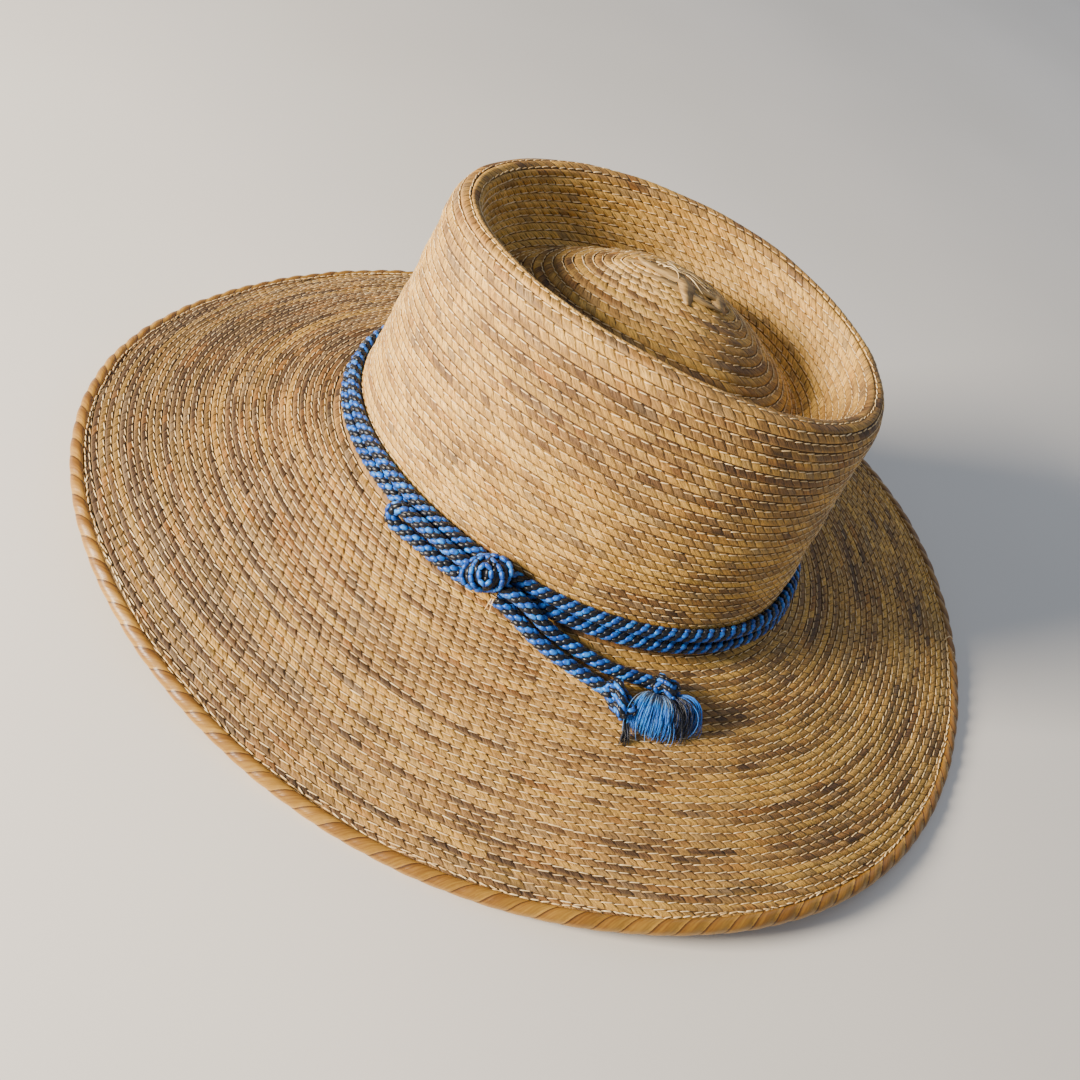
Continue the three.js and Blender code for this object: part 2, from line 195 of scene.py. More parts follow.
def hermite(at, knots, points, slopes):
    """Smooth curve through points with the given slopes at the given knots."""
    j = np.clip(np.searchsorted(knots, at, side="right") - 1, 0, len(knots) - 2)
    width = knots[j + 1] - knots[j]
    s = np.clip((at - knots[j]) / width, 0, 1)
    # With three axes, each place has a curve of its own.
    here = (np.arange(len(at)),) if points.ndim == 3 else ()
    p0, p1, m0, m1 = (part[(k, *here)] for part in (points, slopes) for k in (j, j + 1))
    s, width = s[:, None], width[:, None]
    first = (2 * s ** 3 - 3 * s ** 2 + 1) * p0 + (s ** 3 - 2 * s ** 2 + s) * width * m0
    return first + (3 * s ** 2 - 2 * s ** 3) * p1 + (s ** 3 - s ** 2) * width * m1


def frames_along(path):
    """Tangents and two cross directions along a path that don't turn about it."""
    tangents = unit(np.gradient(path, axis=0))
    side = np.cross(tangents[0], UPWARDS)
    if np.linalg.norm(side) < 0.1:
        side = np.cross(tangents[0], (1.0, 0.0, 0.0))
    sides = []
    for tangent in tangents:
        side = side - tangent * (side @ tangent)
        side = side / np.linalg.norm(side)
        sides.append(side)
    sides = np.array(sides)
    return tangents, sides, np.cross(tangents, sides)


def in_scene(name, data):
    """A new object at the origin of the scene."""
    made = bpy.data.objects.new(name, data)
    bpy.context.scene.collection.objects.link(made)
    return made


# The camera stands where the photograph was taken from, turned as it was.
camera_data = bpy.data.cameras.new("camera")
camera_data.sensor_width = 36
camera_data.lens = 36.67
camera = in_scene("camera", camera_data)
camera_turn = np.eye(4)
camera_turn[:3, 0] = turned((-0.12938514, 0.89967482, 0.41694688))
camera_turn[:3, 1] = turned((-0.67763944, -0.38719961, 0.62520497))
camera_turn[:3, 2] = turned((0.72392284, -0.20164741, 0.65975302))
camera_turn[:3, 3] = rest((379.366, -104.315, 303.944))
camera.matrix_world = Matrix(camera_turn.tolist())
camera_data.clip_start = 0.01
bpy.context.scene.camera = camera


def linear(code):
    """An sRGB hex colour as linear red, green, blue and alpha."""
    parts = [int(code[k:k + 2], 16) / 255 for k in (1, 3, 5)]
    return [c / 12.92 if c <= 0.04045 else ((c + 0.055) / 1.055) ** 2.4 for c in parts] + [1.0]


def add_node(tree, kind, inputs=(), **settings):
    """Adds a node; its inputs, in order or by key, are values or the nodes or sockets that feed it."""
    made = tree.nodes.new(kind)
    for name, value in settings.items():
        setattr(made, name, value)
    for key, value in inputs.items() if isinstance(inputs, dict) else enumerate(inputs):
        if isinstance(value, bpy.types.Node):
            value = value.outputs[0]
        if isinstance(value, bpy.types.NodeSocket):
            tree.links.new(value, made.inputs[key])
        else:
            made.inputs[key].default_value = value
    return made


def new_material(name):
    """An empty material, and what adds a node to it."""
    material = bpy.data.materials.new(name)
    material.use_nodes = True
    material.node_tree.nodes.clear()
    return material, partial(add_node, material.node_tree)


def finished(material, surface):
    """The material, ended in one shader with these inputs."""
    shader = add_node(material.node_tree, "ShaderNodeBsdfPrincipled", surface)
    add_node(material.node_tree, "ShaderNodeOutputMaterial", (shader,))
    return material


def coloured(ramp, stops):
    """The colour ramp with these stops of position and colour."""
    elements = ramp.color_ramp.elements
    while len(elements) < len(stops):
        elements.new(0.5)
    for element, (position, code) in zip(elements, stops):
        element.position = position
        element.color = linear(code)
    return ramp


# In the materials, Map Range takes a value, the two ends that it lies between and the two ends of
# the result, 0 and 1 if left out. Mix takes the share at 0 and its colours at 6 and 7, and gives
# its colour at 2.

# Palm leaf, split into strands, plaited flat and machine-sewn in overlapping rows: matt with a
# faint silky gloss along the fibres, in streaks of gold, tan, brown and grey that run with the rows.
def palm_braid_material():
    material, add = new_material("sewn palm leaf braid")
    # The map counts stitches along the spiral and rows across it.
    uv = add("ShaderNodeUVMap", uv_map="braid")
    split = add("ShaderNodeSeparateXYZ", (uv,))
    rows = split.outputs[1]
    wobble = add("ShaderNodeTexNoise", {"Vector": uv, "Scale": 2.3, "Detail": 2.0})
    shifted = add("ShaderNodeMath", (wobble, 0.3, split), operation="MULTIPLY_ADD")
    cell, in_cell, row, in_row = (
        add("ShaderNodeMath", (count,), operation=part)
        for count in (shifted, rows) for part in ("FLOOR", "FRACT")
    )
    cell_place = add("ShaderNodeCombineXYZ", (cell, row))
    strand_place = add("ShaderNodeCombineXYZ", (shifted, rows, row))
    chance = add("ShaderNodeTexWhiteNoise", {"Vector": cell_place}, noise_dimensions="2D")
    # Strands run on for three to eight stitches before the next one takes over, whole arcs of rows
    # are darker, and the fibres of the leaf run with the strands, slanting across the row.
    run, arc, hue, fibre = (
        add("ShaderNodeTexNoise", {
            "Vector": add("ShaderNodeMapping", {"Vector": place, "Scale": scale, "Location": start}),
            "Scale": 1.0, "Detail": detail, "Roughness": roughness,
        })
        for place, scale, start, detail, roughness in (
            (cell_place, (0.27, 3.7, 1.0), (0.0, 0.0, 0.0), 1.0, 0.5),
            (uv, (0.03, 0.45, 1.0), (0.0, 0.0, 0.0), 2.0, 0.5),
            (cell_place, (0.31, 5.3, 1.0), (40.0, 9.0, 0.0), 1.0, 0.5),
            (strand_place, (7.5, 1.1, 3.7), (0.0, 0.0, 0.0), 4.0, 0.7),
        )
    )
    # Patches a few centimetres across, and places darker or paler: partly stains of handling and
    # weather, partly painted shade and painted light where the hat lies in shade or in light.
    place = add("ShaderNodeTexCoord")
    patch = add("ShaderNodeTexNoise", {"Vector": place.outputs["Object"], "Scale": 15.0, "Detail": 2.0})
    stain_and_painted_light = add("ShaderNodeAttribute", attribute_name="stain_and_painted_light")
    tone = add("ShaderNodeMath", (chance, 0.24, -1.19), operation="MULTIPLY_ADD")
    for part, weight in ((run, 1.15), (arc, 1.2), (patch, 0.7), (stain_and_painted_light.outputs["Fac"], -0.36)):
        tone = add("ShaderNodeMath", (part, weight, tone), operation="MULTIPLY_ADD")
    colour = coloured(add("ShaderNodeValToRGB", (tone,)), (
        (0.02, "#4B3724"), (0.18, "#6A4D30"), (0.34, "#886539"), (0.52, "#AB8243"),
        (0.7, "#C79949"), (0.9, "#DEB161"),
    ))
    # Some strands are yellower, greyer or more orange than the rest.
    yellower = add("ShaderNodeMapRange", (arc, 0.5, 0.64, 0.0, 0.4))
    greyer = add("ShaderNodeMapRange", (hue, 0.43, 0.3, 0.0, 0.62))
    redder = add("ShaderNodeMapRange", (hue, 0.57, 0.72, 0.0, 0.4))
    fibre_shade = add("ShaderNodeMapRange", (fibre, 0.36, 0.66, 0.45, 1.5))
    from_middle, from_sewing = (
        add("ShaderNodeMath", (away,), operation="ABSOLUTE") for away in (
            add("ShaderNodeMath", (in_cell, 0.5), operation="SUBTRACT"),
            add("ShaderNodeMath", (in_row, 0.55), operation="SUBTRACT"),
        )
    )
    # Where one strand dives under the next there is a thin dark gap, broken here and there.
    gap = add("ShaderNodeMapRange", (from_middle, 0.425, 0.465))
    for factor in (
        add("ShaderNodeMapRange", (in_row, 0.95, 0.45)),
        add("ShaderNodeMapRange", (chance.outputs[1], 0.1, 0.7, 0.35, 1.0)),
    ):
        gap = add("ShaderNodeMath", (gap, factor), operation="MULTIPLY")
    # Painted shadow tucked under the row before, deeper in some places, and the paler folded edge
    # with a painted highlight along it.
    deep = add("ShaderNodeMapRange", (wobble, 0.35, 0.65, 1.0, 0.7))
    tucked = add("ShaderNodeMapRange", (in_row, 0.18, 0.03))
    tucked = add("ShaderNodeMath", (tucked, deep), operation="MULTIPLY")
    pale_fold_and_highlight = add("ShaderNodeMapRange", (in_row, 0.76, 0.9, 0.0, 0.16))
    # Inside the hat and under the brim the sewing shows as short flat stitches.
    inside = add("ShaderNodeAttribute", attribute_name="inside")
    stitch = add("ShaderNodeMapRange", (from_middle, 0.34, 0.3))
    for factor in (add("ShaderNodeMapRange", (from_sewing, 0.11, 0.08)), inside.outputs["Fac"]):
        stitch = add("ShaderNodeMath", (stitch, factor), operation="MULTIPLY")
    for share, over, blend in (
        (yellower, linear("#BE9640"), "MIX"), (greyer, linear("#7F6A4E"), "MIX"),
        (redder, linear("#B5782E"), "MIX"), (1.0, fibre_shade, "MULTIPLY"),
        (gap, linear("#241408"), "MIX"), (tucked, linear("#2A1A0D"), "MIX"),
        (pale_fold_and_highlight, linear("#DCB069"), "MIX"), (stitch, linear("#EAD2A2"), "MIX"),
    ):
        mixed = add("ShaderNodeMix", {0: share, 6: colour, 7: over}, data_type="RGBA", blend_type=blend)
        colour = mixed.outputs[2]
    # Each strand is slightly pillowed between its two dives.
    height = add(
        "ShaderNodeMapRange", (from_middle, 0.5, 0.3, 0.0, 0.7), interpolation_type="SMOOTHSTEP"
    )
    for part, weight in ((fibre, 0.9), (stitch, 1.2)):
        height = add("ShaderNodeMath", (part, weight, height), operation="MULTIPLY_ADD")
    bump = add("ShaderNodeBump", {"Strength": 0.8, "Distance": 0.0004, "Height": height})
    gloss = add("ShaderNodeMapRange", (fibre, 0.2, 0.8, 0.48, 0.74))
    return finished(material, {"Base Color": colour, "Roughness": gloss, "IOR": 1.38, "Normal": bump})


def mottled_material(name, scale, stops, roughness):
    """A plain material that varies a little in tone from place to place."""
    material, add = new_material(name)
    place = add("ShaderNodeTexCoord")
    tone = add("ShaderNodeTexNoise", {"Vector": place.outputs["Object"], "Scale": scale})
    shade = coloured(add("ShaderNodeValToRGB", (tone,)), stops)
    return finished(material, {"Base Color": shade, "Roughness": roughness})


# Torn palm leaf where the braid begins: dull tan with fine lengthwise streaks.
def raw_leaf_material():
    material, add = new_material("raw palm leaf")
    place = add("ShaderNodeTexCoord")
    stretched = add(
        "ShaderNodeMapping", {"Vector": place.outputs["Object"], "Scale": (900.0, 260.0, 300.0)}
    )
    streak = add("ShaderNodeTexNoise", {"Vector": stretched, "Scale": 1.0, "Detail": 3.0})
    shade = coloured(
        add("ShaderNodeValToRGB", (streak,)), ((0.3, "#6F5430"), (0.5, "#9A7B48"), (0.7, "#B9985F"))
    )
    return finished(material, {"Base Color": shade, "Roughness": 0.6})


# A broad strip of palm leaf folded over the edge and sewn down: satin, orange gold, with long
# fibres that slant where the strip is laid over itself.
def leaf_binding_material():
    material, add = new_material("folded palm leaf binding")
    # The map counts laps along the strip and centimetres across it.
    uv = add("ShaderNodeUVMap", uv_map="strip")
    split = add("ShaderNodeSeparateXYZ", (uv,))
    lap = add("ShaderNodeMath", (split,), operation="FLOOR")
    in_lap = add("ShaderNodeMath", (split,), operation="FRACT")
    chance = add("ShaderNodeTexWhiteNoise", {"W": lap}, noise_dimensions="1D")
    fibre_place = add("ShaderNodeMapping", {"Vector": uv, "Scale": (11.0, 1.6, 1.0)})
    fibre = add("ShaderNodeTexNoise", {"Vector": fibre_place, "Scale": 1.0, "Detail": 4.0})
    # Each lap is painted darker where it begins and paler where it ends: painted shading of the petal.
    tone = add("ShaderNodeMath", (chance, 0.14, 0.04), operation="MULTIPLY_ADD")
    for part, weight in ((fibre, 0.55), (in_lap, 0.3)):
        tone = add("ShaderNodeMath", (part, weight, tone), operation="MULTIPLY_ADD")
    colour = coloured(
        add("ShaderNodeValToRGB", (tone,)),
        ((0.25, "#5A3A10"), (0.42, "#785019"), (0.58, "#8F6723"), (0.78, "#A98034"))
    )
    # The fold at the very edge has a paler painted highlight, and each lap begins with a painted
    # shadow in its crease.
    lip_highlight = add("ShaderNodeMapRange", (split.outputs[1], 0.53, 0.66, 0.0, 0.55))
    crease_shadow = add("ShaderNodeMapRange", (in_lap, 0.11, 0.03, 0.0, 0.95))
    for share, code in ((lip_highlight, "#C6984E"), (crease_shadow, "#3E230B")):
        mixed = add("ShaderNodeMix", {0: share, 6: colour, 7: linear(code)}, data_type="RGBA")
        colour = mixed.outputs[2]
    bump = add("ShaderNodeBump", {"Strength": 0.5, "Distance": 0.0003, "Height": fibre})
    return finished(material, {"Base Color": colour, "Roughness": 0.42, "Normal": bump})


# Braided rayon cord: plump glossy plaits of yarn, royal blue spiralling against blue black.
def braided_cord_material():
    material, add = new_material("braided rayon cord")
    place = add("ShaderNodeTexCoord").outputs["Object"]
    tone = add("ShaderNodeTexNoise", {"Vector": place, "Scale": 420.0, "Detail": 2.0})
    blue, dark = (
        coloured(add("ShaderNodeValToRGB", (tone,)), stops) for stops in (
            ((0.32, "#0A3480"), (0.5, "#0E55B4"), (0.68, "#2A88E2")),
            ((0.3, "#030509"), (0.55, "#070C17"), (0.8, "#0F1830")),
        )
    )
    stripe = add("ShaderNodeAttribute", attribute_name="stripe")
    pick = add("ShaderNodeMath", (stripe.outputs["Fac"], 0.5), operation="GREATER_THAN")
    colour = add("ShaderNodeMix", {0: pick, 6: dark, 7: blue}, data_type="RGBA")
    # Filaments of the yarn, drawn at 0.25 mm, coarser than the real ones, so that they show.
    yarn = add("ShaderNodeTexNoise", {"Vector": place, "Scale": 3200.0, "Detail": 1.0})
    bump = add("ShaderNodeBump", {"Strength": 0.4, "Distance": 0.0002, "Height": yarn})
    return finished(material, {
        "Base Color": colour.outputs[2], "Roughness": 0.36, "Normal": bump, "Sheen Weight": 0.06
    })


# Combed-out rayon yarn: fine loose filaments with a soft gloss along them.
def tassel_material():
    material, add = new_material("combed rayon yarn")
    stripe = add("ShaderNodeAttribute", attribute_name="stripe")
    # The grey at the top of the ramp is a painted highlight of the glossy yarn.
    shade = coloured(add("ShaderNodeValToRGB", (stripe.outputs["Fac"],)), (
        (0.0, "#080A10"), (0.22, "#1C222C"), (0.42, "#0D3C8E"), (0.6, "#1666CC"),
        (0.78, "#3596EE"), (0.95, "#8595A6"),
    ))
    return finished(material, {"Base Color": shade, "Roughness": 0.4, "Sheen Weight": 0.1})


PALM_BRAID = palm_braid_material()
# Glazed cotton sewing thread: smooth, cream, brighter than the leaf round it.
THREAD = mottled_material(
    "cream cotton thread", 260.0, ((0.3, "#C9A56C"), (0.5, "#DFC08A"), (0.7, "#F0DAAE")), 0.45
)
LEAF_BINDING = leaf_binding_material()
RAW_LEAF = raw_leaf_material()
BRAIDED_CORD = braided_cord_material()
TASSEL_YARN = tassel_material()


def linked_mesh(name, points, faces, material, edges=()):
    """A mesh object in the scene, smooth shaded, with one material."""
    mesh = bpy.data.meshes.new(name)
    mesh.from_pydata(np.asarray(points).tolist(), edges, [tuple(face) for face in faces])
    mesh.materials.append(material)
    mesh.shade_smooth()
    return in_scene(name, mesh)


def put_attribute(mesh, name, kind, values):
    """Stores one value or vector for each point of a mesh."""
    layer = mesh.attributes.new(name, kind, "POINT")
    field = "vector" if kind == "FLOAT_VECTOR" else "value"
    layer.data.foreach_set(field, np.asarray(values, float).ravel())


def new_tree(name, inputs):
    """A geometry tree with the named inputs, what adds a node to it, and what it is given."""
    tree = bpy.data.node_groups.new(name, "GeometryNodeTree")
    tree.interface.new_socket("Geometry", in_out="INPUT", socket_type="NodeSocketGeometry")
    for label, kind in inputs:
        tree.interface.new_socket(label, in_out="INPUT", socket_type=kind)
    tree.interface.new_socket("Geometry", in_out="OUTPUT", socket_type="NodeSocketGeometry")
    add = partial(add_node, tree)
    return tree, add, add("NodeGroupInput").outputs


def seed_tree():
    """Lays a small rounded lump, such as a stitch or a plait of yarn, on every seed point."""
    tree, add, given = new_tree("lumps on seeds", (
        ("Length", "NodeSocketFloat"), ("Width", "NodeSocketFloat"), ("Height", "NodeSocketFloat"),
        ("Material", "NodeSocketMaterial"),
    ))
    seed, along, up, scale = (
        add("GeometryNodeInputNamedAttribute", {"Name": name}, data_type=kind) for name, kind in (
            ("seed", "FLOAT"), ("along", "FLOAT_VECTOR"), ("up", "FLOAT_VECTOR"), ("scale", "FLOAT"),
        )
    )
    ball = add("GeometryNodeMeshUVSphere", {"Segments": 6, "Rings": 3, "Radius": 0.5})
    size = add("ShaderNodeCombineXYZ", (given["Height"], given["Width"], given["Length"]))
    lump = add("GeometryNodeTransform", {
        "Geometry": ball, "Scale": size, "Rotation": (0.0, np.pi / 2, 0.0)
    })
    lump = add("GeometryNodeSetShadeSmooth", (lump,))
    turn = add("FunctionNodeAxesToRotation", (along, up), primary_axis="X", secondary_axis="Z")
    laid = add("GeometryNodeInstanceOnPoints", {
        "Points": given["Geometry"], "Selection": seed, "Instance": lump, "Rotation": turn, "Scale": scale
    })
    bare = add(
        "GeometryNodeDeleteGeometry", {"Geometry": given["Geometry"], "Selection": seed}, domain="POINT"
    )
    joined = add("GeometryNodeJoinGeometry", (laid,))
    tree.links.new(bare.outputs[0], joined.inputs[0])
    real = add("GeometryNodeRealizeInstances", (joined,))
    painted = add("GeometryNodeSetMaterial", {
        "Geometry": real, "Selection": seed, "Material": given["Material"]
    })
    add("NodeGroupOutput", (painted,))
    return tree


def strand_tree():
    """Gives every line of a mesh the round section of a strand."""
    tree, add, given = new_tree("round strands", (
        ("Radius", "NodeSocketFloat"), ("Sides", "NodeSocketInt"), ("Material", "NodeSocketMaterial"),
    ))
    taper = add("GeometryNodeInputNamedAttribute", {"Name": "taper"}, data_type="FLOAT")
    lines = add("GeometryNodeMeshToCurve", {"Mesh": given["Geometry"]})
    section = add(
        "GeometryNodeCurvePrimitiveCircle", {"Resolution": given["Sides"], "Radius": given["Radius"]}
    )
    swept = add("GeometryNodeCurveToMesh", {
        "Curve": lines, "Profile Curve": section, "Fill Caps": True, "Scale": taper
    })
    swept = add("GeometryNodeSetShadeSmooth", (swept,))
    real = add("GeometryNodeRealizeInstances", (swept,))
    painted = add("GeometryNodeSetMaterial", {"Geometry": real, "Material": given["Material"]})
    add("NodeGroupOutput", (painted,))
    return tree


SEED_TREE = seed_tree()
STRAND_TREE = strand_tree()


def grow(made, tree, **values):
    """Runs a geometry tree on an object and keeps the result as its plain mesh."""
    modifier = made.modifiers.new(tree.name, "NODES")
    modifier.node_group = tree
    for item in tree.interface.items_tree:
        if item.in_out == "INPUT" and item.name in values:
            modifier[item.identifier] = values[item.name]
    graph = bpy.context.evaluated_depsgraph_get()
    mesh = bpy.data.meshes.new_from_object(
        made.evaluated_get(graph), preserve_all_data_layers=True, depsgraph=graph
    )
    made.modifiers.remove(modifier)
    made.data = mesh
    return made


def lumps(name, centres, along, up, size, material, stripe=0.0, scale=1.0, core=None):
    """Lumps of a size in metres on seed points in mm, with an optional core of (points, faces)."""
    points, faces = core or (np.zeros((0, 3)), [])
    made = linked_mesh(name, rest(np.vstack([points, centres])), faces, material)
    blank, one = np.zeros(len(points)), np.ones(len(centres))
    for label, values in (("seed", one), ("stripe", stripe * one), ("scale", scale * one)):
        put_attribute(made.data, label, "FLOAT", np.concatenate([blank, values]))
    empty = np.zeros((len(points), 3))
    for label, directions in (("along", along), ("up", up)):
        values = np.vstack([empty, turned(directions)])
        put_attribute(made.data, label, "FLOAT_VECTOR", values)
    return grow(
        made, SEED_TREE, Length=size[0], Width=size[1], Height=size[2], Material=material
    )


# The cord. It is plaited from plump yarns, so that its stripes wind round it in two starts,
# each 6.3 mm from the next along the cord.
CORD = 5.6
PLAITS_ROUND = 6
STRIPE_STEP = 6.3
PLAIT_SUNK = 0.8
CORE_SUNK = 0.75
CORD_STEP = 1.2
PLAIT_MARGIN = 0.3


def tube(path, radius, sides):
    """A round tube along a path, closed with a flat cap at both ends."""
    _, first, second = frames_along(path)
    around = (np.arange(sides) * TURN / sides)[None, :, None]
    ring = np.cos(around) * first[:, None] + np.sin(around) * second[:, None]
    size = np.broadcast_to(radius, (len(path),))[:, None, None]
    points = (path[:, None] + ring * size).reshape(-1, 3)
    faces = []
    last = (len(path) - 1) * sides
    for a in range(0, last, sides):
        for i in range(sides):
            j = (i + 1) % sides
            faces.append((a + i, a + j, a + sides + j, a + sides + i))
    faces.append(tuple(range(sides))[::-1])
    faces.append(tuple(range(last, last + sides)))
    return points, faces


def plaits(path, radius, start=0.0, squeeze=1.0):
    """Seed points for the plaits of a cord along a path: centres, directions and stripes."""
    length = run_along(path)
    step = STRIPE_STEP * squeeze / 2
    count = int(length[-1] / step) + 5
    i, j = np.indices((count, PLAITS_ROUND)).reshape(2, -1)
    at = (i - j * 4 / PLAITS_ROUND + 2 * start) * step
    keep = (at > PLAIT_MARGIN) & (at < length[-1] - PLAIT_MARGIN)
    i, j, at = i[keep], j[keep], at[keep]
    angle = j * TURN / PLAITS_ROUND
    t, a, b = (unit(values_at(at, length, directions)) for directions in frames_along(path))
    c, s = np.cos(angle)[:, None], np.sin(angle)[:, None]
    up = a * c + b * s
    along = unit(t - 0.5 * (b * c - a * s))
    centres = values_at(at, length, path) + up * (radius - PLAIT_SUNK)
    return centres, along, up, (i % 2).astype(float)


def cord_piece(name, path, radius=CORD / 2, start=0.0, squeeze=1.0):
    """A length of cord along a path: a dark core with the plaits laid on it."""
    centres, along, up, stripe = plaits(path, radius, start, squeeze)
    share = radius / (CORD / 2)
    size = (0.0044 * squeeze, 0.0027 * share, 0.0020 * share)
    core = tube(path, radius - CORE_SUNK, 8)
    return lumps(name, centres, along, up, size, BRAIDED_CORD, stripe, core=core)


# The routes of the two tails over the brim: angle round the hat, level distance out from the
# foot of the crown and height of the cord's middle above the straw.
TAIL_ROUTES = {
    "a": (
        (-13.0, 7.2, 4.6), (-9.0, 8.0, 3.6), (-5.8, 10.5, 3.4), (-3.2, 12.8, 3.4), (-0.2, 14.9, 3.4),
        (2.4, 16.7, 3.4), (5.3, 18.5, 3.4), (8.3, 20.3, 3.4), (10.8, 22.5, 3.6), (13.0, 25.5, 4.6),
    ),
    "b": (
        (-13.0, 7.6, 12.0), (-9.6, 7.8, 11.8), (-7.0, 8.2, 11.0), (-4.6, 8.7, 9.2), (-1.8, 8.8, 6.2),
        (1.4, 9.2, 3.8), (4.6, 10.4, 3.4), (7.6, 12.0, 3.4), (10.8, 13.6, 3.4), (13.6, 14.8, 3.4),
        (16.8, 15.6, 3.4), (20.0, 16.8, 3.8), (22.2, 18.8, 4.8),
    ),
}
# Where the knot of each tail begins and ends, placed as the stops of the tails are.
KNOT_ENDS = {
    "a": ((13.4, 23.4, 5.6), (15.4, 31.4, 5.4)),
    "b": ((22.9, 19.4, 5.9), (24.7, 21.8, 5.9)),
}
KNOT_OVERHANG = 1.6
KNOT_RADIUS = 2.4
KNOT_BULGE = 0.9
KNOT_CORD = 2.2


def tail_knot(side):
    """A wall knot pulled tight at the end of a tail."""
    start, end = (over_brim(*stop) for stop in KNOT_ENDS[side])
    along = unit(end - start)
    across = unit(np.cross(UPWARDS, along))
    up = np.cross(along, across)
    # The cord runs twice round the knot while it goes three times from end to end.
    t = (np.arange(72) * TURN / 72)[:, None]
    turn = KNOT_RADIUS + KNOT_BULGE * np.cos(3 * t)
    reach = np.linalg.norm(end - start) / 2 + KNOT_OVERHANG
    path = (start + end) / 2 + reach * np.sin(3 * t) * along
    path = path + turn * np.cos(2 * t) * across + turn * np.sin(2 * t) * up
    path = np.vstack([path, path[:2]])
    return cord_piece(f"tail_knot_{side}_wraps", path, radius=KNOT_CORD, start=0.2, squeeze=0.9)


TAILS = {}
for side, route in TAIL_ROUTES.items():
    path = smooth_path([over_brim(*stop) for stop in route], CORD_STEP)
    TAILS[side] = (cord_piece(f"tail_{side}", path), path, tail_knot(side))


# The braid is one long spiral: the row number grows by one each time it has gone round. Lines
# of points run along it at these parts of a row, with the relief of the overlapping edge in mm.
CROWN_LINES = ((0.0, 0.0), (0.1, 0.22), (0.36, 0.55), (0.66, 0.74), (0.86, 0.7), (0.95, 0.45))
BRIM_LINES = ((0.0, 0.0), (0.12, 0.32), (0.42, 0.7), (0.78, 0.76), (0.93, 0.46))
CROWN_ROWS = 56
SHOULDER_ROW = 29
VALLEY_ROW = 16
BRIM_ROWS = 43
MEAN_BRIM_ROWS = 37.0
MORE_BRIM_ROWS = 5.2
MOST_BRIM_ROWS_AT = 0.58
BREAK_ROWS = 4.5
# Length of one plait, with its stitch, along a row.
CROWN_PLAIT = 4.3
BRIM_PLAIT = 5.2
FOOT_GAP = 0.15
CROWN_FOOT = BREAK_RADIUS + FOOT_GAP
# Height of the wall's topmost row where the ridge has no wave, and how rows widen up to it: by so
# much of their width for each mm of height.
WALL_TOP = 105.7
WIDENING = 0.002765
WIDENED_AT_FOOT = 1.0253
ROWS_TO_WIDEN = 116.7
# Unevenness of the rows: height in mm, times round, shift from row to row, and start.
RIPPLES = ((0.22, 3, 0.7, 0.0), (0.16, 7, -0.9, 1.0), (0.1, 17, 2.3, 0.0))
FADE_ROWS = 0.5
# Places of a stitch along its plait and across its row, and its height over the straw.
STITCH_ALONG = 0.44
STITCH_ACROSS = 0.15
STITCH_LIFT = 0.22
STITCH_TILT = 0.1
UNDERSIDE_STEP = 0.25
# Where the rows of the crown are measured: shares of the dome, and rows of the wall.
DOME_STATIONS = (0.0, 0.2, 0.4, 0.6, 0.8, 1.0)
WALL_STATIONS = (35, 41, 47, 52, CROWN_ROWS)
# Rows of the pressed top, with how far each is inside the rim's line and below its ridge.
PRESS_ROWS = (
    (19.2, 16.5, 21.5), (22.4, 12.0, 13.0), (25.1, 9.2, 4.5), (26.2, 7.7, 1.3), (27.1, 4.5, 0.0),
    (28.0, 1.3, 1.3), (29.0, -0.5, 4.5),
)


def wall_height(t, row):
    """Height of a row on the wall: rows are 3.1 mm wide at the foot and 4 mm at the top."""
    level = (WIDENED_AT_FOOT * np.exp((CROWN_ROWS - row) / ROWS_TO_WIDEN) - 1) / WIDENING
    top = press_point(t, *PRESS_ROWS[-1][1:])[..., 2]
    return CROWN_FOOT + (level - CROWN_FOOT) * (top - CROWN_FOOT) / (WALL_TOP - CROWN_FOOT)


def crown_at(t, row):
    """Outer face of the crown at angle t, that many rows of braid from the tip."""
    stations = [(share * VALLEY_ROW, dome_point(t, share)) for share in DOME_STATIONS]
    stations += [(at, press_point(t, inset, drop)) for at, inset, drop in PRESS_ROWS]
    stations += [(at, wall_point(t, wall_height(t, at))) for at in WALL_STATIONS]
    rows = np.array([at for at, _ in stations], float)
    points = np.stack([place for _, place in stations])
    return hermite(row, rows, points, np.gradient(points, rows, axis=0))


def crown_rows(t):
    """Row at which the crown's braid ends: the same all round."""
    return np.full_like(t, CROWN_ROWS)


def brim_rows(t):
    """Row at which the brim's braid is cut off under the binding: more of them at the near left."""
    return MEAN_BRIM_ROWS + MORE_BRIM_ROWS * np.cos(t + MOST_BRIM_ROWS_AT)


def brim_at(t, row):
    """Upper face of the brim at angle t, that many rows of braid from the foot of the crown."""
    start = -WALL_LEAN * BREAK_RADIUS
    turn = np.clip(row / BREAK_ROWS, 0, 1) * np.pi / 2
    end = edge_reach(t)[0] - EDGE_INSET
    share = np.clip((row - BREAK_ROWS) / (brim_rows(t) - BREAK_ROWS), 0, 1)
    out = start + BREAK_RADIUS * (1 - np.cos(turn)) + share * (end - start - BREAK_RADIUS)
    return brim_point(t, out)


def facing(surface, t, row, rows):
    """Outward direction of a surface, straight up at its tip."""
    low, high = np.clip(row - ROW_STEP, 0, rows), np.clip(row + ROW_STEP, 0, rows)
    across = surface(t, high) - surface(t, low)
    round_ = surface(t + ANGLE_STEP, row) - surface(t - ANGLE_STEP, row)
    made = np.cross(across, round_)
    size = np.linalg.norm(made, axis=-1, keepdims=True)
    return np.where(size > 1e-7, made / np.maximum(size, 1e-12), UPWARDS)


def edge_fade(row, rows):
    """1 over the rows and 0 at both ends of them."""
    return np.clip(row / FADE_ROWS, 0, 1) * np.clip((rows - row) / FADE_ROWS, 0, 1)


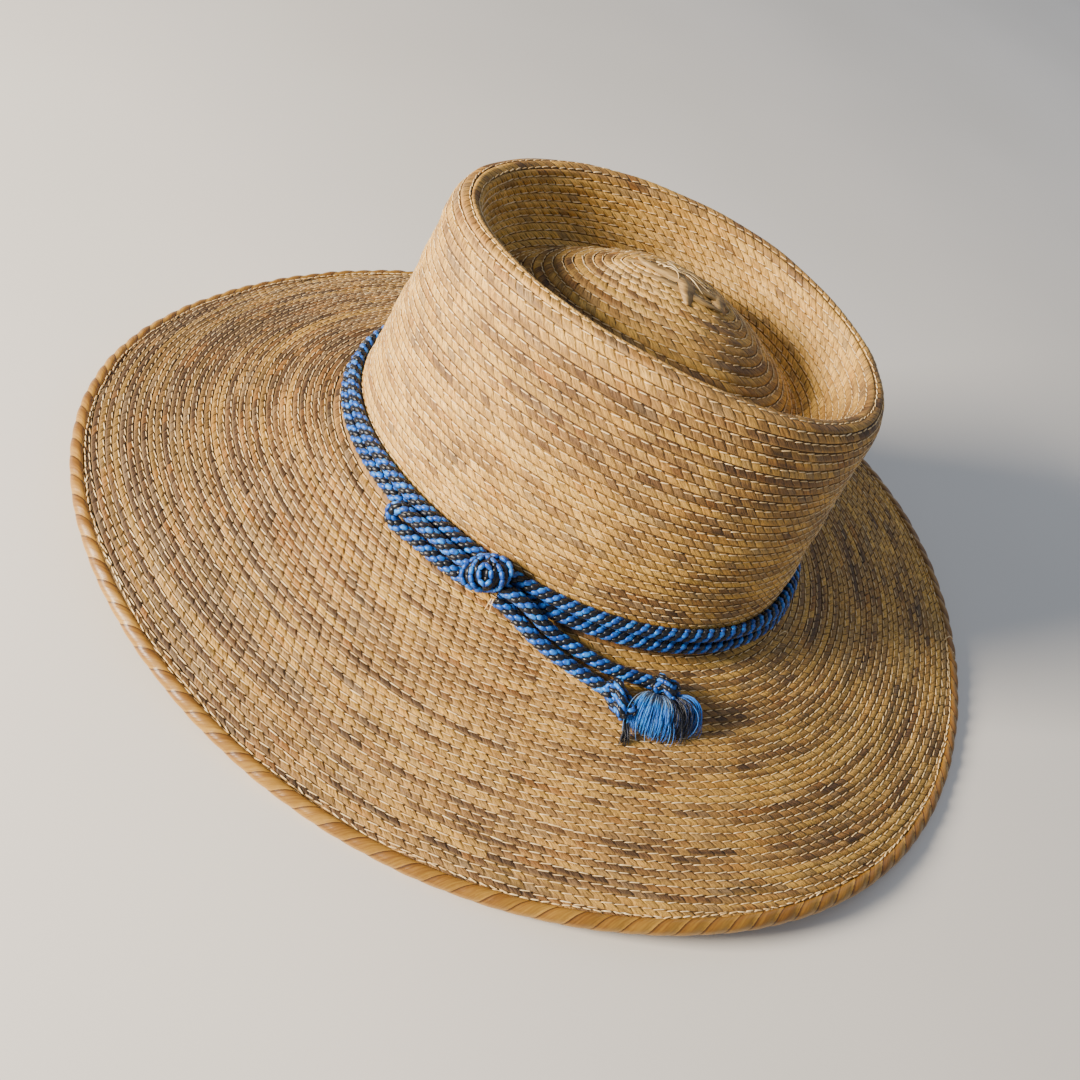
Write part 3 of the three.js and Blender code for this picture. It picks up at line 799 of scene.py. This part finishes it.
def ripple(t, row, rows):
    """Slight unevenness of the sewn rows, fading out where the braid begins and ends."""
    waves = sum(size * np.sin(n * t + shift * row + start) for size, n, shift, start in RIPPLES)
    return waves * edge_fade(row, rows)


def relief(row_part, lines):
    """Height of the overlapping edge at a part of a row."""
    parts = [part for part, _ in lines] + [1.0]
    heights = [height for _, height in lines] + [0.0]
    return np.interp(row_part, parts, heights)


def grid_faces(lines, around):
    """Four corners of each cell of a grid of lines + 1 by around + 1 points."""
    k, i = np.indices((lines, around)).reshape(2, -1)
    a = k * (around + 1) + i
    return np.stack([a, a + around + 1, a + around + 2, a + 1], -1)


def stitch_counts(surface, rows, pitch, held):
    """Stitches in each row, the same from the held row on, and how many come before it."""
    t = np.linspace(0, TURN, 181)
    lengths = [run_along(surface(t, np.full_like(t, row + 0.5)))[-1] for row in range(rows)]
    counts = np.array([max(6, round(length / pitch)) for length in lengths + lengths[-1:]], float)
    if held:
        counts[held:] = counts[held:].mean().round()
    return counts, np.concatenate([[0], np.cumsum(counts)])


def darker(t, row, marks):
    """How much darker the braid is, by stains and by painted shade and painted light: each mark is an
    angle and a row, how far it spreads, and how dark.
    """
    total = np.zeros_like(row)
    for degrees, spread, at, rows, amount in marks:
        away = (np.degrees(t) - degrees + 180) % 360 - 180
        total = total + amount * np.exp(-(away / spread) ** 2 - ((row - at) / rows) ** 2)
    return total


def braid_piece(name, plan, around, slant, marks, open_start):
    """The sewn braid between two ends as one closed shell, its rows standing in relief."""
    surface, rows, ends, lines, counts, before = plan
    t = np.arange(around + 1) * TURN / around

    def spiral(at_rows):
        """Angle, row, last row there and part of a row, for each point of the lines of a face."""
        angle = np.broadcast_to(t, (len(at_rows), around + 1)).ravel()
        row = (at_rows[:, None] - t[None, :] / TURN).ravel()
        return angle, row, ends(angle), np.repeat(at_rows % 1, around + 1)

    def face(angle, row, last, lift):
        """Points that far off the surface, in their lines."""
        held = np.clip(row, 0, last)
        points = surface(angle, held) + facing(surface, angle, held, last) * lift[:, None]
        return points.reshape(-1, around + 1, 3)

    line_rows = np.array([q + part for q in range(rows + 1) for part, _ in lines] + [rows + 1.0])
    angle, row, last, part = spiral(line_rows)
    raised = relief(part, lines) * edge_fade(row, last) + ripple(angle, np.clip(row, 0, last), last)
    outer = face(angle, row, last, raised)
    # Stains of the straw together with painted shade and painted light, laid on from the marks.
    stain_and_painted_light = darker(angle, row, marks).reshape(-1, around + 1)
    # The inner face has a line for each half row.
    inner_rows = np.arange(0, rows + 1.25, 0.5)
    angle, row, last, part = spiral(inner_rows)
    inner = face(angle, row, last, UNDERSIDE_STEP * (part > 0.25) * edge_fade(row, last) - STRAW)
    outer = np.concatenate([outer, inner[-1:]])
    stain_and_painted_light = np.concatenate([stain_and_painted_light, stain_and_painted_light[-1:]])
    line_rows = np.append(line_rows, rows + 1.2)
    if open_start:
        outer = np.concatenate([inner[:1], outer])
        stain_and_painted_light = np.concatenate([stain_and_painted_light[:1], stain_and_painted_light])
        line_rows = np.append(-0.2, line_rows)
    points = np.concatenate([outer.reshape(-1, 3), inner.reshape(-1, 3)])
    outer_faces = grid_faces(len(outer) - 1, around)
    inner_faces = grid_faces(len(inner) - 1, around) + len(outer) * (around + 1)
    faces = np.concatenate([outer_faces, inner_faces[:, ::-1]])
    made = linked_mesh(name, rest(points), faces, PALM_BRAID)
    put_attribute(made.data, "inside", "FLOAT", np.arange(len(points)) >= stain_and_painted_light.size)
    put_attribute(made.data, "stain_and_painted_light", "FLOAT", np.append(stain_and_painted_light, np.zeros(len(points) - stain_and_painted_light.size)))

    def corners(row_of_line, flipped):
        """The map at the corners of each cell: stitches along the spiral, rows across it."""
        first = np.clip(row_of_line[:-1], 0, rows + 0.999)
        q = np.floor(first + 1e-6).astype(int)
        low = np.clip(row_of_line[:-1] - q, 0, 1)
        high = np.clip(row_of_line[1:] - q, 0, 1)
        u0, n = before[q], counts[q]
        part = np.stack([low, high, high, low], -1)[:, None, :]
        angle = np.stack([t[:-1], t[:-1], t[1:], t[1:]], -1)[None] / TURN
        u = u0[:, None, None] + n[:, None, None] * angle - slant * part
        v = np.broadcast_to(q[:, None, None] + np.clip(part, 0.002, 0.998), u.shape)
        both = np.stack([u, v], -1).reshape(-1, 4, 2)
        return both[:, ::-1] if flipped else both

    layer = made.data.uv_layers.new(name="braid")
    uv = np.concatenate([corners(line_rows, False), corners(inner_rows, True)])
    layer.data.foreach_set("uv", uv.ravel())
    weld(made.data)
    return made


def weld(mesh):
    """Merges the points where the spiral meets itself and drops the faces that vanish there."""
    work = bmesh.new()
    work.from_mesh(mesh)
    bmesh.ops.remove_doubles(work, verts=work.verts, dist=2e-6)
    work.to_mesh(mesh)
    work.free()
    mesh.validate()


def stitch_piece(name, plan, size):
    """The sewing thread: one stitch for each cell of the braid, beside the row before."""
    surface, rows, ends, lines, counts, before = plan
    number = np.arange(int(before[rows]))
    row = np.searchsorted(before, number, side="right") - 1
    t = (number - before[row] + STITCH_ALONG) / counts[row] * TURN
    part = STITCH_ACROSS + 0.03 * chooser.standard_normal(len(number))
    t = t + 0.04 * chooser.standard_normal(len(number)) / counts[row] * TURN
    at = row + part - t / TURN
    keep = (at > 0.6) & (at < ends(t) - 0.8)
    t, at, part = t[keep], at[keep], part[keep]
    up = facing(surface, t, at, ends(t))
    lift = relief(part, lines) + STITCH_LIFT + ripple(t, at, ends(t))
    centre = surface(t, at) + up * lift[:, None]
    on, back = (surface(t + step, at - step / TURN) for step in (ANGLE_STEP, -ANGLE_STEP))
    along = unit(on - back)
    # Each stitch climbs a little towards the row before.
    tilt = STITCH_TILT + 0.05 * chooser.standard_normal(len(t))
    along = unit(along + np.cross(up, along) * tilt[:, None])
    scale = 1 + 0.1 * chooser.standard_normal(len(t))
    return lumps(name, centre, along, up, size, THREAD, scale=scale)


# Darker and paler places of the straw, as the photograph shows them. Some are stains of the straw;
# others are painted shade and painted light: painted shade on the inner wall at the right, beside the
# band and over the whole brim, and painted light on the lit side of the wall, on the inner wall and on
# the right of the brim. Each gives the angle in degrees and how far it spreads, the row and how far it
# spreads, and how much darker.
CROWN_MARKS = (
    (-22, 20, 35, 4, 0.8), (25, 30, 33, 4, 0.5), (5, 25, 39, 3, 0.2), (-40, 65, 45, 14, -0.9),
    (130, 130, 20, 5, -1.4), (55, 30, 21, 5, 1.7), (0, 400, 7, 8, -0.4),
)
BRIM_MARKS = (
    (0, 400, 20, 60, 0.2), (-78, 40, 34, 18, 1.8), (-75, 32, 4, 4, 0.6), (15, 28, 37, 4, 0.4),
    (-25, 30, 41, 5, 0.4), (65, 40, 24, 20, -0.5),
)
# Cells round a row, and how far a strand slants, in plaits, across its row.
CROWN_AROUND = 216
BRIM_AROUND = 320
CROWN_SLANT = 0.85
BRIM_SLANT = 0.6
# Every random draw below comes from here, in this order.
chooser = np.random.default_rng(12)
CROWN_PLAN = (
    crown_at, CROWN_ROWS, crown_rows, CROWN_LINES,
    *stitch_counts(crown_at, CROWN_ROWS, CROWN_PLAIT, SHOULDER_ROW),
)
BRIM_PLAN = (
    brim_at, BRIM_ROWS, brim_rows, BRIM_LINES, *stitch_counts(brim_at, BRIM_ROWS, BRIM_PLAIT, 0)
)
crown = braid_piece("crown_braid", CROWN_PLAN, CROWN_AROUND, CROWN_SLANT, CROWN_MARKS, False)
brim = braid_piece("brim_braid", BRIM_PLAN, BRIM_AROUND, BRIM_SLANT, BRIM_MARKS, True)
crown_thread = stitch_piece("crown_stitches", CROWN_PLAN, (0.0041, 0.00052, 0.00055))
brim_thread = stitch_piece("brim_stitches", BRIM_PLAN, (0.0050, 0.00055, 0.0006))

# The binding's section, out from the brim's edge and up from its middle, with the direction in
# which each point stands off where the strip laps over itself.
BINDING_SECTION = (
    (-4.4, 1.2, 0, 0), (-4.1, 1.8, 0, 0.4), (-3.3, 2.1, 0, 1), (-2.2, 2.2, 0, 1), (-1.1, 2.1, 0.3, 1),
    (0.0, 1.7, 0.4, 0.7), (0.8, 0.8, 0.4, 0.3), (1.0, -0.2, 0.4, 0), (0.8, -1.1, 0.4, -0.3),
    (-0.4, -1.9, 0.3, -0.8), (-1.8, -2.1, 0, -1), (-3.0, -2.1, 0, -1), (-4.1, -1.9, 0, -0.4),
    (-4.4, -1.2, 0, 0), (-3.0, -1.25, 0, 0), (-1.0, -1.3, 0, 0), (-1.0, 1.3, 0, 0), (-3.0, 1.25, 0, 0),
)
LAPS = 124
LAP_SLANT = 0.13
LAP_BOW = 0.12
LAP_EDGE = 0.3
LAP_PLUMP = 0.75
STRIP_WAVE = 0.12
STRIP_WAVES = 40
SEGMENTS_PER_LAP = 12
# How much of the strip's width is seen from above, and the places of a small tear in the edge
# behind the wearer's left ear: its angle in degrees, the distance to there, its depth and width.
STRIP_SEEN = 6.5
TEAR_AT = 90.9
TEAR_RADIUS = 220
TEAR_DEPTH = 3.4
TEAR_WIDTH = 0.9
EDGE_STITCHES = 330
SEWING_INSET = 5.9
SEWING_WAVES = 23


def lap_height(lap):
    """How far the strip stands off at a place along it: each fold is a low plump petal."""
    part = lap % 1
    return LAP_EDGE * (1 - part) + LAP_PLUMP * np.sin(np.pi * part) ** 0.7


def edge_frame(t):
    """The brim's edge with the directions outwards along the brim and up from it."""
    reach, _ = edge_reach(t)
    edge = brim_point(t, reach)
    out = unit(edge - brim_point(t, reach - 1))
    after, before = (brim_point(at, edge_reach(at)[0]) for at in (t + ANGLE_STEP, t - ANGLE_STEP))
    round_ = unit(after - before)
    up = unit(np.cross(out, round_))
    return edge, out, up, round_


def angle_at_share(share):
    """Angle round the hat at a share of the length of the brim's edge."""
    t = np.linspace(0, TURN, 721)
    length = run_along(brim_point(t, edge_reach(t)[0]))
    return np.interp(share, length / length[-1], t)


def binding_piece():
    """The strip of leaf folded over the edge, wound round it lap upon lap."""
    around = LAPS * SEGMENTS_PER_LAP
    share = np.arange(around + 1) / around
    t = angle_at_share(share)
    edge, out, up, _ = edge_frame(t)
    section = np.array(BINDING_SECTION, float)
    section = np.vstack([section, section[:1]])
    width = run_along(section[:, :2])
    bow = LAP_BOW * np.sin(np.pi * np.clip(width / STRIP_SEEN, 0, 1))
    lap = share[:, None] * LAPS + (LAP_SLANT * width + bow)[None]
    height = lap_height(lap) + STRIP_WAVE * np.sin(share * STRIP_WAVES * TURN)[:, None]
    from_tear = (t - np.radians(TEAR_AT)) * TEAR_RADIUS
    torn = TEAR_DEPTH * np.exp(-(from_tear / TEAR_WIDTH) ** 2) * np.where(from_tear > 0, 1, 0.5)
    near_edge = np.clip((section[:, 0] + 4) / 4, 0, 1)
    at_out = section[None, :, 0] - 1 + height * section[None, :, 2] - torn[:, None] * near_edge
    at_up = section[None, :, 1] - 1 + height * section[None, :, 3]
    points = edge[:, None] + out[:, None] * at_out[..., None] + up[:, None] * at_up[..., None]
    placed = rest(points.reshape(-1, 3))
    placed[:, 2] = np.maximum(placed[:, 2], 0)
    made = linked_mesh("binding_strip", placed, grid_faces(around, len(section) - 1), LEAF_BINDING)
    layer = made.data.uv_layers.new(name="strip")
    k, i = np.indices((around, len(section) - 1)).reshape(2, -1)
    corners = []
    for dk, di in ((0, 0), (1, 0), (1, 1), (0, 1)):
        corners.append(np.stack([lap[k + dk, i + di], width[i + di] / 10], -1))
    layer.data.foreach_set("uv", np.stack(corners, 1).ravel())
    weld(made.data)
    return made


def binding_stitches():
    """The line of sewing that holds the folded strip, near its inner edge."""
    share = (np.arange(EDGE_STITCHES) + 0.5) / EDGE_STITCHES
    edge, out, up, along = edge_frame(angle_at_share(share))
    wander = share * SEWING_WAVES * TURN
    inset = -SEWING_INSET + 0.25 * np.sin(wander) + 0.15 * chooser.standard_normal(EDGE_STITCHES)
    tilt = 0.14 * np.cos(wander) + 0.1 * chooser.standard_normal(EDGE_STITCHES)
    centre = edge + out * inset[:, None] + up
    along = unit(along + out * tilt[:, None])
    return lumps("binding_stitches", centre, along, up, (0.0039, 0.00065, 0.0007), THREAD)


binding = binding_piece()
binding_thread = binding_stitches()


# The two turns of cord round the crown, each from the knot to the knot, in degrees.
BAND_ENDS = (-15.0, 340.6)


def band_path(height, clear):
    """Middle line of a band cord, so high over the foot of the crown and so clear of it."""
    t = np.radians(np.linspace(*BAND_ENDS, 500))
    nx, ny = outward(t)
    away = np.stack([nx, ny, 0 * nx], -1) * (CORD / 2 + clear)
    return smooth_path(wall_point(t, height) + away, CORD_STEP)


band_upper = cord_piece("band_upper", band_path(12.3, 0.4))
band_lower = cord_piece("band_lower", band_path(6.5, 1.1), start=0.45)

# The loop: angle round the hat, level distance out from the foot of the crown and height.
LOOP_ROUTE = (
    (-20.0, 7.8, 10.2), (-25.0, 7.7, 10.3), (-29.0, 7.6, 10.4), (-33.0, 7.6, 10.5), (-36.5, 7.9, 10.2),
    (-38.6, 8.2, 9.7), (-40.0, 8.9, 8.3), (-40.6, 9.3, 6.1), (-40.0, 9.7, 3.9), (-38.6, 9.7, 2.7),
    (-36.5, 9.2, 2.7), (-33.0, 8.7, 3.0), (-29.0, 8.5, 3.1), (-25.0, 8.5, 3.1), (-20.0, 8.4, 3.3),
)
loop_angles, loop_outs, loop_heights = np.array(LOOP_ROUTE).T
loop_points = brim_point(np.radians(loop_angles), loop_outs)
loop_points[:, 2] = loop_heights
loop = cord_piece("loop", smooth_path(loop_points, CORD_STEP), start=0.3)


def strands(name, lines, shades, tip, radius, sides, material):
    """Fine strands, one along each line of points in mm, that thin down to a share at the tip."""
    points, edges, taper = [], [], []
    for line in lines:
        first = len(points)
        points.extend(line)
        edges.extend((first + k, first + k + 1) for k in range(len(line) - 1))
        taper.extend(np.linspace(1.0, tip, len(line)))
    made = linked_mesh(name, rest(points), [], material, edges)
    put_attribute(made.data, "stripe", "FLOAT", np.concatenate(shades))
    put_attribute(made.data, "taper", "FLOAT", taper)
    return grow(made, STRAND_TREE, Radius=radius * 0.001, Sides=sides, Material=material)


# The round knot that gathers the band, the loop and the tails: blue and dark yarns that curve
# over it from top to bottom as the photograph shows it.
KNOT_AT = (-17.2, 7.0, 11.4)
KNOT_TOP = (-0.68, -0.39, 0.62)
KNOT_SIDE = (-0.13, 0.90, 0.42)
KNOT_FRONT = (0.72, -0.20, 0.66)
KNOT_HALF = (6.6, 10.4, 6.8)
# Turns of yarn over the knot, in degrees from its front towards its side.
BLUE_TURNS = (-64, -34, 33, 62)
DARK_TURNS = (-82, -49, -20, 2, 19, 48, 78)
LUMPS_A_TURN = 14
EYE_HALF = (2.3, 3.6)
EYE_LUMPS = 6


def knot_piece():
    """The knot: arcs of blue and dark yarn over a round core, with a small eye in the middle."""
    middle = brim_point(np.radians(KNOT_AT[0]), KNOT_AT[1])
    middle[2] = KNOT_AT[2]
    top, side, front = (unit(np.array(axis)) for axis in (KNOT_TOP, KNOT_SIDE, KNOT_FRONT))
    t = np.linspace(-1, 1, 9)
    radius = np.maximum(np.sqrt(1 - t ** 2), 0.05)
    core = tube(middle + t[:, None] * side * KNOT_HALF[1], radius * (KNOT_HALF[0] - 0.6), 16)
    places, directions, outs, stripes = [], [], [], []
    for blue, turns in ((1.0, BLUE_TURNS), (0.0, DARK_TURNS)):
        for k, degrees in enumerate(turns):
            turn = np.radians(degrees)
            level = np.cos(turn) * front * KNOT_HALF[2] + np.sin(turn) * side * KNOT_HALF[1]
            angle = (np.arange(LUMPS_A_TURN) + 0.35 * k) * TURN / LUMPS_A_TURN
            c, s = np.cos(angle)[:, None], np.sin(angle)[:, None]
            rise = top * KNOT_HALF[0] + side * 2.0 * np.sin(2.1 * k + 0.6)
            size = 1.0 if blue else 0.9
            places.append(middle + size * (c * level + s * rise))
            directions.append(unit(c * rise - s * level + 0.25 * (-1) ** k * side))
            outs.append(unit(c * level / KNOT_HALF[1] + s * rise / KNOT_HALF[0]))
            stripes.append(np.full(LUMPS_A_TURN, blue))
    angle = np.arange(EYE_LUMPS) * TURN / EYE_LUMPS
    c, s = np.cos(angle)[:, None], np.sin(angle)[:, None]
    across, along = EYE_HALF
    eye = middle + front * KNOT_HALF[2] * 0.98
    places.append(eye + side * (across * c - 0.4) + top * (along * s - 0.4))
    directions.append(unit(top * along * c - side * across * s))
    outs.append(np.tile(front, (EYE_LUMPS, 1)))
    stripes.append(np.ones(EYE_LUMPS))
    return lumps(
        "knot_wraps", np.vstack(places), np.vstack(directions), np.vstack(outs),
        (0.0043, 0.0024, 0.0024), BRAIDED_CORD, np.concatenate(stripes), core=core
    )


knot = knot_piece()
# Combed-out yarns are drawn thicker than the real ones, so that fewer of them fill a tassel.
YARN_RADIUS = 0.15


def yarn_tone(side, turn, layer, s):
    """Shade of a strand, from black at 0 through blue to a painted grey highlight at 1, along its length.
    """
    if side == "a":
        return 0.05 + 0.12 * layer + 0 * s
    turn = turn + 0.1 * chooser.standard_normal()
    if turn < 0.08:
        # Blue, dark here and there underneath, and greyer near the root on top: a painted highlight.
        tone = 0.68 + 0.12 * chooser.uniform(-1, 1)
        if layer < 0.3 and chooser.uniform() < 0.5:
            tone = 0.1
        return np.clip(tone + np.clip(2.2 - 4 * s, 0, 1) * (0.3 if layer > 0.4 else 0), 0, 0.97)
    if turn < 0.72:
        return chooser.choice((0.04, 0.12, 0.2, 0.3)) + 0 * s
    return 0.5 + 0.12 * layer + 0 * s


def tassel_piece(side, root, spread, reach, lift, count, wide):
    """Combed-out yarn: the strands bulge up from the root, then curl in and down to the brim."""
    angle, out, height = root
    start = over_brim(*root)
    ahead = unit(over_brim(angle, out + 1, height) - start)
    across = unit(over_brim(angle + 1, out, height) - start)
    s = np.linspace(0, 1, 9)
    lines, shades = [], []
    for _ in range(count):
        turn = spread * chooser.uniform(-1, 1)
        layer = chooser.uniform(0, 1)
        # Strands differ in length, and those on top are a little shorter.
        length = reach * (0.86 + 0.1 * chooser.standard_normal() + 0.1 * (1 - layer))
        gone = length * (1 - (1 - s) ** 1.5) * (1 - 0.1 * layer * s ** 3)
        # The mop splays at its root and comes together at its tip, and the dark tuft fans out.
        curl = 1.6 - 0.85 * s if side == "b" else 1 + 0.25 * s
        bow = turn * curl + 0.05 * chooser.standard_normal() * s
        level = ahead * (gone * np.cos(0.9 * bow))[:, None]
        level = level + across * (gone * np.sin(bow) + wide * turn / spread)[:, None]
        # It ends this high above the straw.
        low = 0.5 + 1.2 * chooser.uniform(0, 1)
        rise = 2 * s * (1 - s) * (height + lift * layer) + (low - height) * s ** 2
        rise = rise + height * (1 - s) ** 2 - height * (1 - s ** 2)
        lines.append(start + level + UPWARDS * rise[:, None])
        tone = yarn_tone(side, turn, layer, s) + 0.05 * chooser.standard_normal()
        shades.append(np.clip(tone, 0, 1))
    return strands(f"tassel_strands_{side}", lines, shades, 0.55, YARN_RADIUS, 3, TASSEL_YARN)


# Root of each tassel, how far it fans out in radians, its length, how high it bulges, the number
# of its strands and its half width at the root.
tassels = {
    "a": tassel_piece("a", (16.0, 33.6, 3.6), 0.1, 9.5, 2.0, 70, 0.8),
    "b": tassel_piece("b", (23.3, 23.0, 5.0), 1.05, 16.4, 12.0, 800, 4.6),
}


def loose_piece(name, radius, bits):
    """Loose ends of thread, or splinters as thin and pale, each on_dome or over_brim with stops."""
    lines = [smooth_path([at(*stop) for stop in stops], 0.8) for at, *stops in bits]
    return strands(name, lines, [np.zeros(len(line)) for line in lines], 0.5, radius, 5, THREAD)


def on_dome(x, y, lift):
    """A point above the dome, from the middle of the slot where the braid begins."""
    place = (x + SLOT_SHIFT[0] + RIM_SHIFT[0], y + SLOT_SHIFT[1] + RIM_SHIFT[1])
    return np.array([*place, RIM_HEIGHT - VALLEY[1] + DOME_RISE + lift])


def leaf_folds(name, folds):
    """Broad folds of leaf lying on the crown, each through stops of angle, row and lift."""
    points, faces = [], []
    for width, stops in folds:
        degrees, rows, lifts = np.array(stops, float).T
        middle = smooth_path(crown_at(np.radians(degrees), rows) + lifts[:, None] * UPWARDS, 0.9)
        side = unit(np.cross(np.gradient(middle, axis=0), UPWARDS))
        part = np.linspace(0, 1, len(middle))[:, None]
        half = 0.5 * width * side * np.maximum(np.sin(np.pi * part), 0.03) ** 0.45
        curl = 0.3 * np.sin(3 * np.pi * part) * UPWARDS
        ring = [middle - half - curl, middle + 0.5 * UPWARDS, middle + half + curl, middle]
        first = len(points)
        points.extend(np.stack(ring, 1).reshape(-1, 3).tolist())
        for k in range(len(middle) - 1):
            a, b = first + 4 * k, first + 4 * k + 4
            faces.extend((a + i, b + i, b + (i + 1) % 4, a + (i + 1) % 4) for i in range(4))
        faces.append(tuple(range(first, first + 4)))
        faces.append(tuple(range(len(points) - 1, len(points) - 5, -1)))
    return linked_mesh(name, rest(np.array(points)), faces, RAW_LEAF)


loose_thread = loose_piece("loose_thread", 0.28, (
    (over_brim, (-13.4, 9.0, 6.5), (-13.2, 10.8, 5.6), (-12.8, 12.6, 3.2)),
    (over_brim, (-13.8, 9.0, 6.2), (-13.8, 10.6, 4.6), (-13.8, 11.6, 2.6)),
    (on_dome, (0, -9, 0.2), (2, -6, 2.6), (4, -3, 2.2), (8, -2, 0.0)),
    (on_dome, (1, -11, 0.4), (-2, -7, 1.6), (0, -2, 1.4)),
    (on_dome, (3, -5, 0.4), (5, 1, 1.2), (3, 8, 0.6)),
))
dome_folds = leaf_folds("dome_folds", (
    (9.0, ((-130, 2.6, 0.5), (-90, 0.9, 1.3), (0, 1.3, 1.5), (4, 3.0, 1.2), (6, 4.4, 0.5))),
    (7.0, ((-92, 3.2, 0.5), (-80, 1.4, 0.9), (10, 1.0, 1.0), (80, 1.2, 1.0), (92, 3.4, 0.5))),
    (7.0, ((140, 2.2, 0.5), (100, 1.0, 1.1), (60, 1.8, 1.1), (52, 3.4, 0.5))),
    (6.0, ((-50, 3.3, 0.6), (-20, 2.6, 0.8), (30, 2.8, 0.8), (62, 3.0, 0.6))),
))
loose_straw = loose_piece("loose_straw", 0.3, (
    (over_brim, (66.0, 9.6, 1.2), (67.3, 10.6, 3.0), (68.8, 12.4, 1.6)),
    (over_brim, (91.6, 105.0, 0.9), (91.9, 108.0, 1.6), (92.6, 110.0, 1.0)),
    (over_brim, (93.6, 104.0, 0.9), (94.4, 107.6, 1.8), (94.2, 109.8, 1.4)),
    (on_dome, (-1, -12, 0.3), (1, -4, 1.6), (0, 4, 1.4), (2, 12, 0.2)),
    (on_dome, (2, -8, 0.3), (-2, 2, 1.5), (-1, 10, 0.3)),
    (on_dome, (-3, -3, 0.2), (2, 3, 1.8), (6, 9, 0.3)),
))

for piece, node in (
    (band_upper, "band_cord_upper"), (band_lower, "band_cord_lower"), (loop, "band_loop"),
    (knot, "band_knot"), (TAILS["a"][0], "tail_cord_a"), (TAILS["b"][0], "tail_cord_b"),
    (TAILS["a"][2], "tail_knot_a"), (TAILS["b"][2], "tail_knot_b"),
):
    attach(piece, "root")
    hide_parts(node)
for side, piece in tassels.items():
    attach(piece, "root")
    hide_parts(f"tassel_{side}")
for piece in (crown, brim, crown_thread, brim_thread, loose_thread, loose_straw, dome_folds):
    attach(piece, "root")
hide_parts("crown_side", "crown_tip")
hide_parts("brim")
for piece in (binding, binding_thread):
    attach(piece, "root")
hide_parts("brim_binding")

# Plain matt paper-white sweep under the hat.
PALE_FLOOR = mottled_material("pale matt floor", 3.0, ((0.3, "#DAD7D2"), (0.7, "#E2DFDB")), 0.85)
floor = linked_mesh(
    "floor", [(-4, -4, 0), (4, -4, 0), (4, 4, 0), (-4, 4, 0)], [(0, 1, 2, 3)], PALE_FLOOR
)

world = bpy.data.worlds.new("studio")
bpy.context.scene.world = world
world.use_nodes = True
world.node_tree.nodes.clear()
sky = add_node(world.node_tree, "ShaderNodeBackground", {"Color": linear("#DDE6F4"), "Strength": 0.42})
add_node(world.node_tree, "ShaderNodeOutputWorld", (sky,))


def area_light(name, place, target, size, watts, colour):
    """A soft rectangular light aimed at a point."""
    data = bpy.data.lights.new(name, "AREA")
    data.size = size
    data.energy = watts
    data.color = linear(colour)[:3]
    made = in_scene(name, data)
    back = unit(np.array(place) - np.array(target))
    side = unit(np.cross(UPWARDS, back))
    turn = np.eye(4)
    turn[:3, 0] = side
    turn[:3, 1] = np.cross(back, side)
    turn[:3, 2] = back
    turn[:3, 3] = place
    made.matrix_world = Matrix(turn.tolist())


area_light("key", (0.6, -1.26, 0.56), (0.0, 0.0, 0.06), 0.42, 83, "#FFF1DC")
area_light("fill", (-1.2, 0.9, 1.2), (0.0, 0.0, 0.05), 1.2, 4, "#EAF1FF")
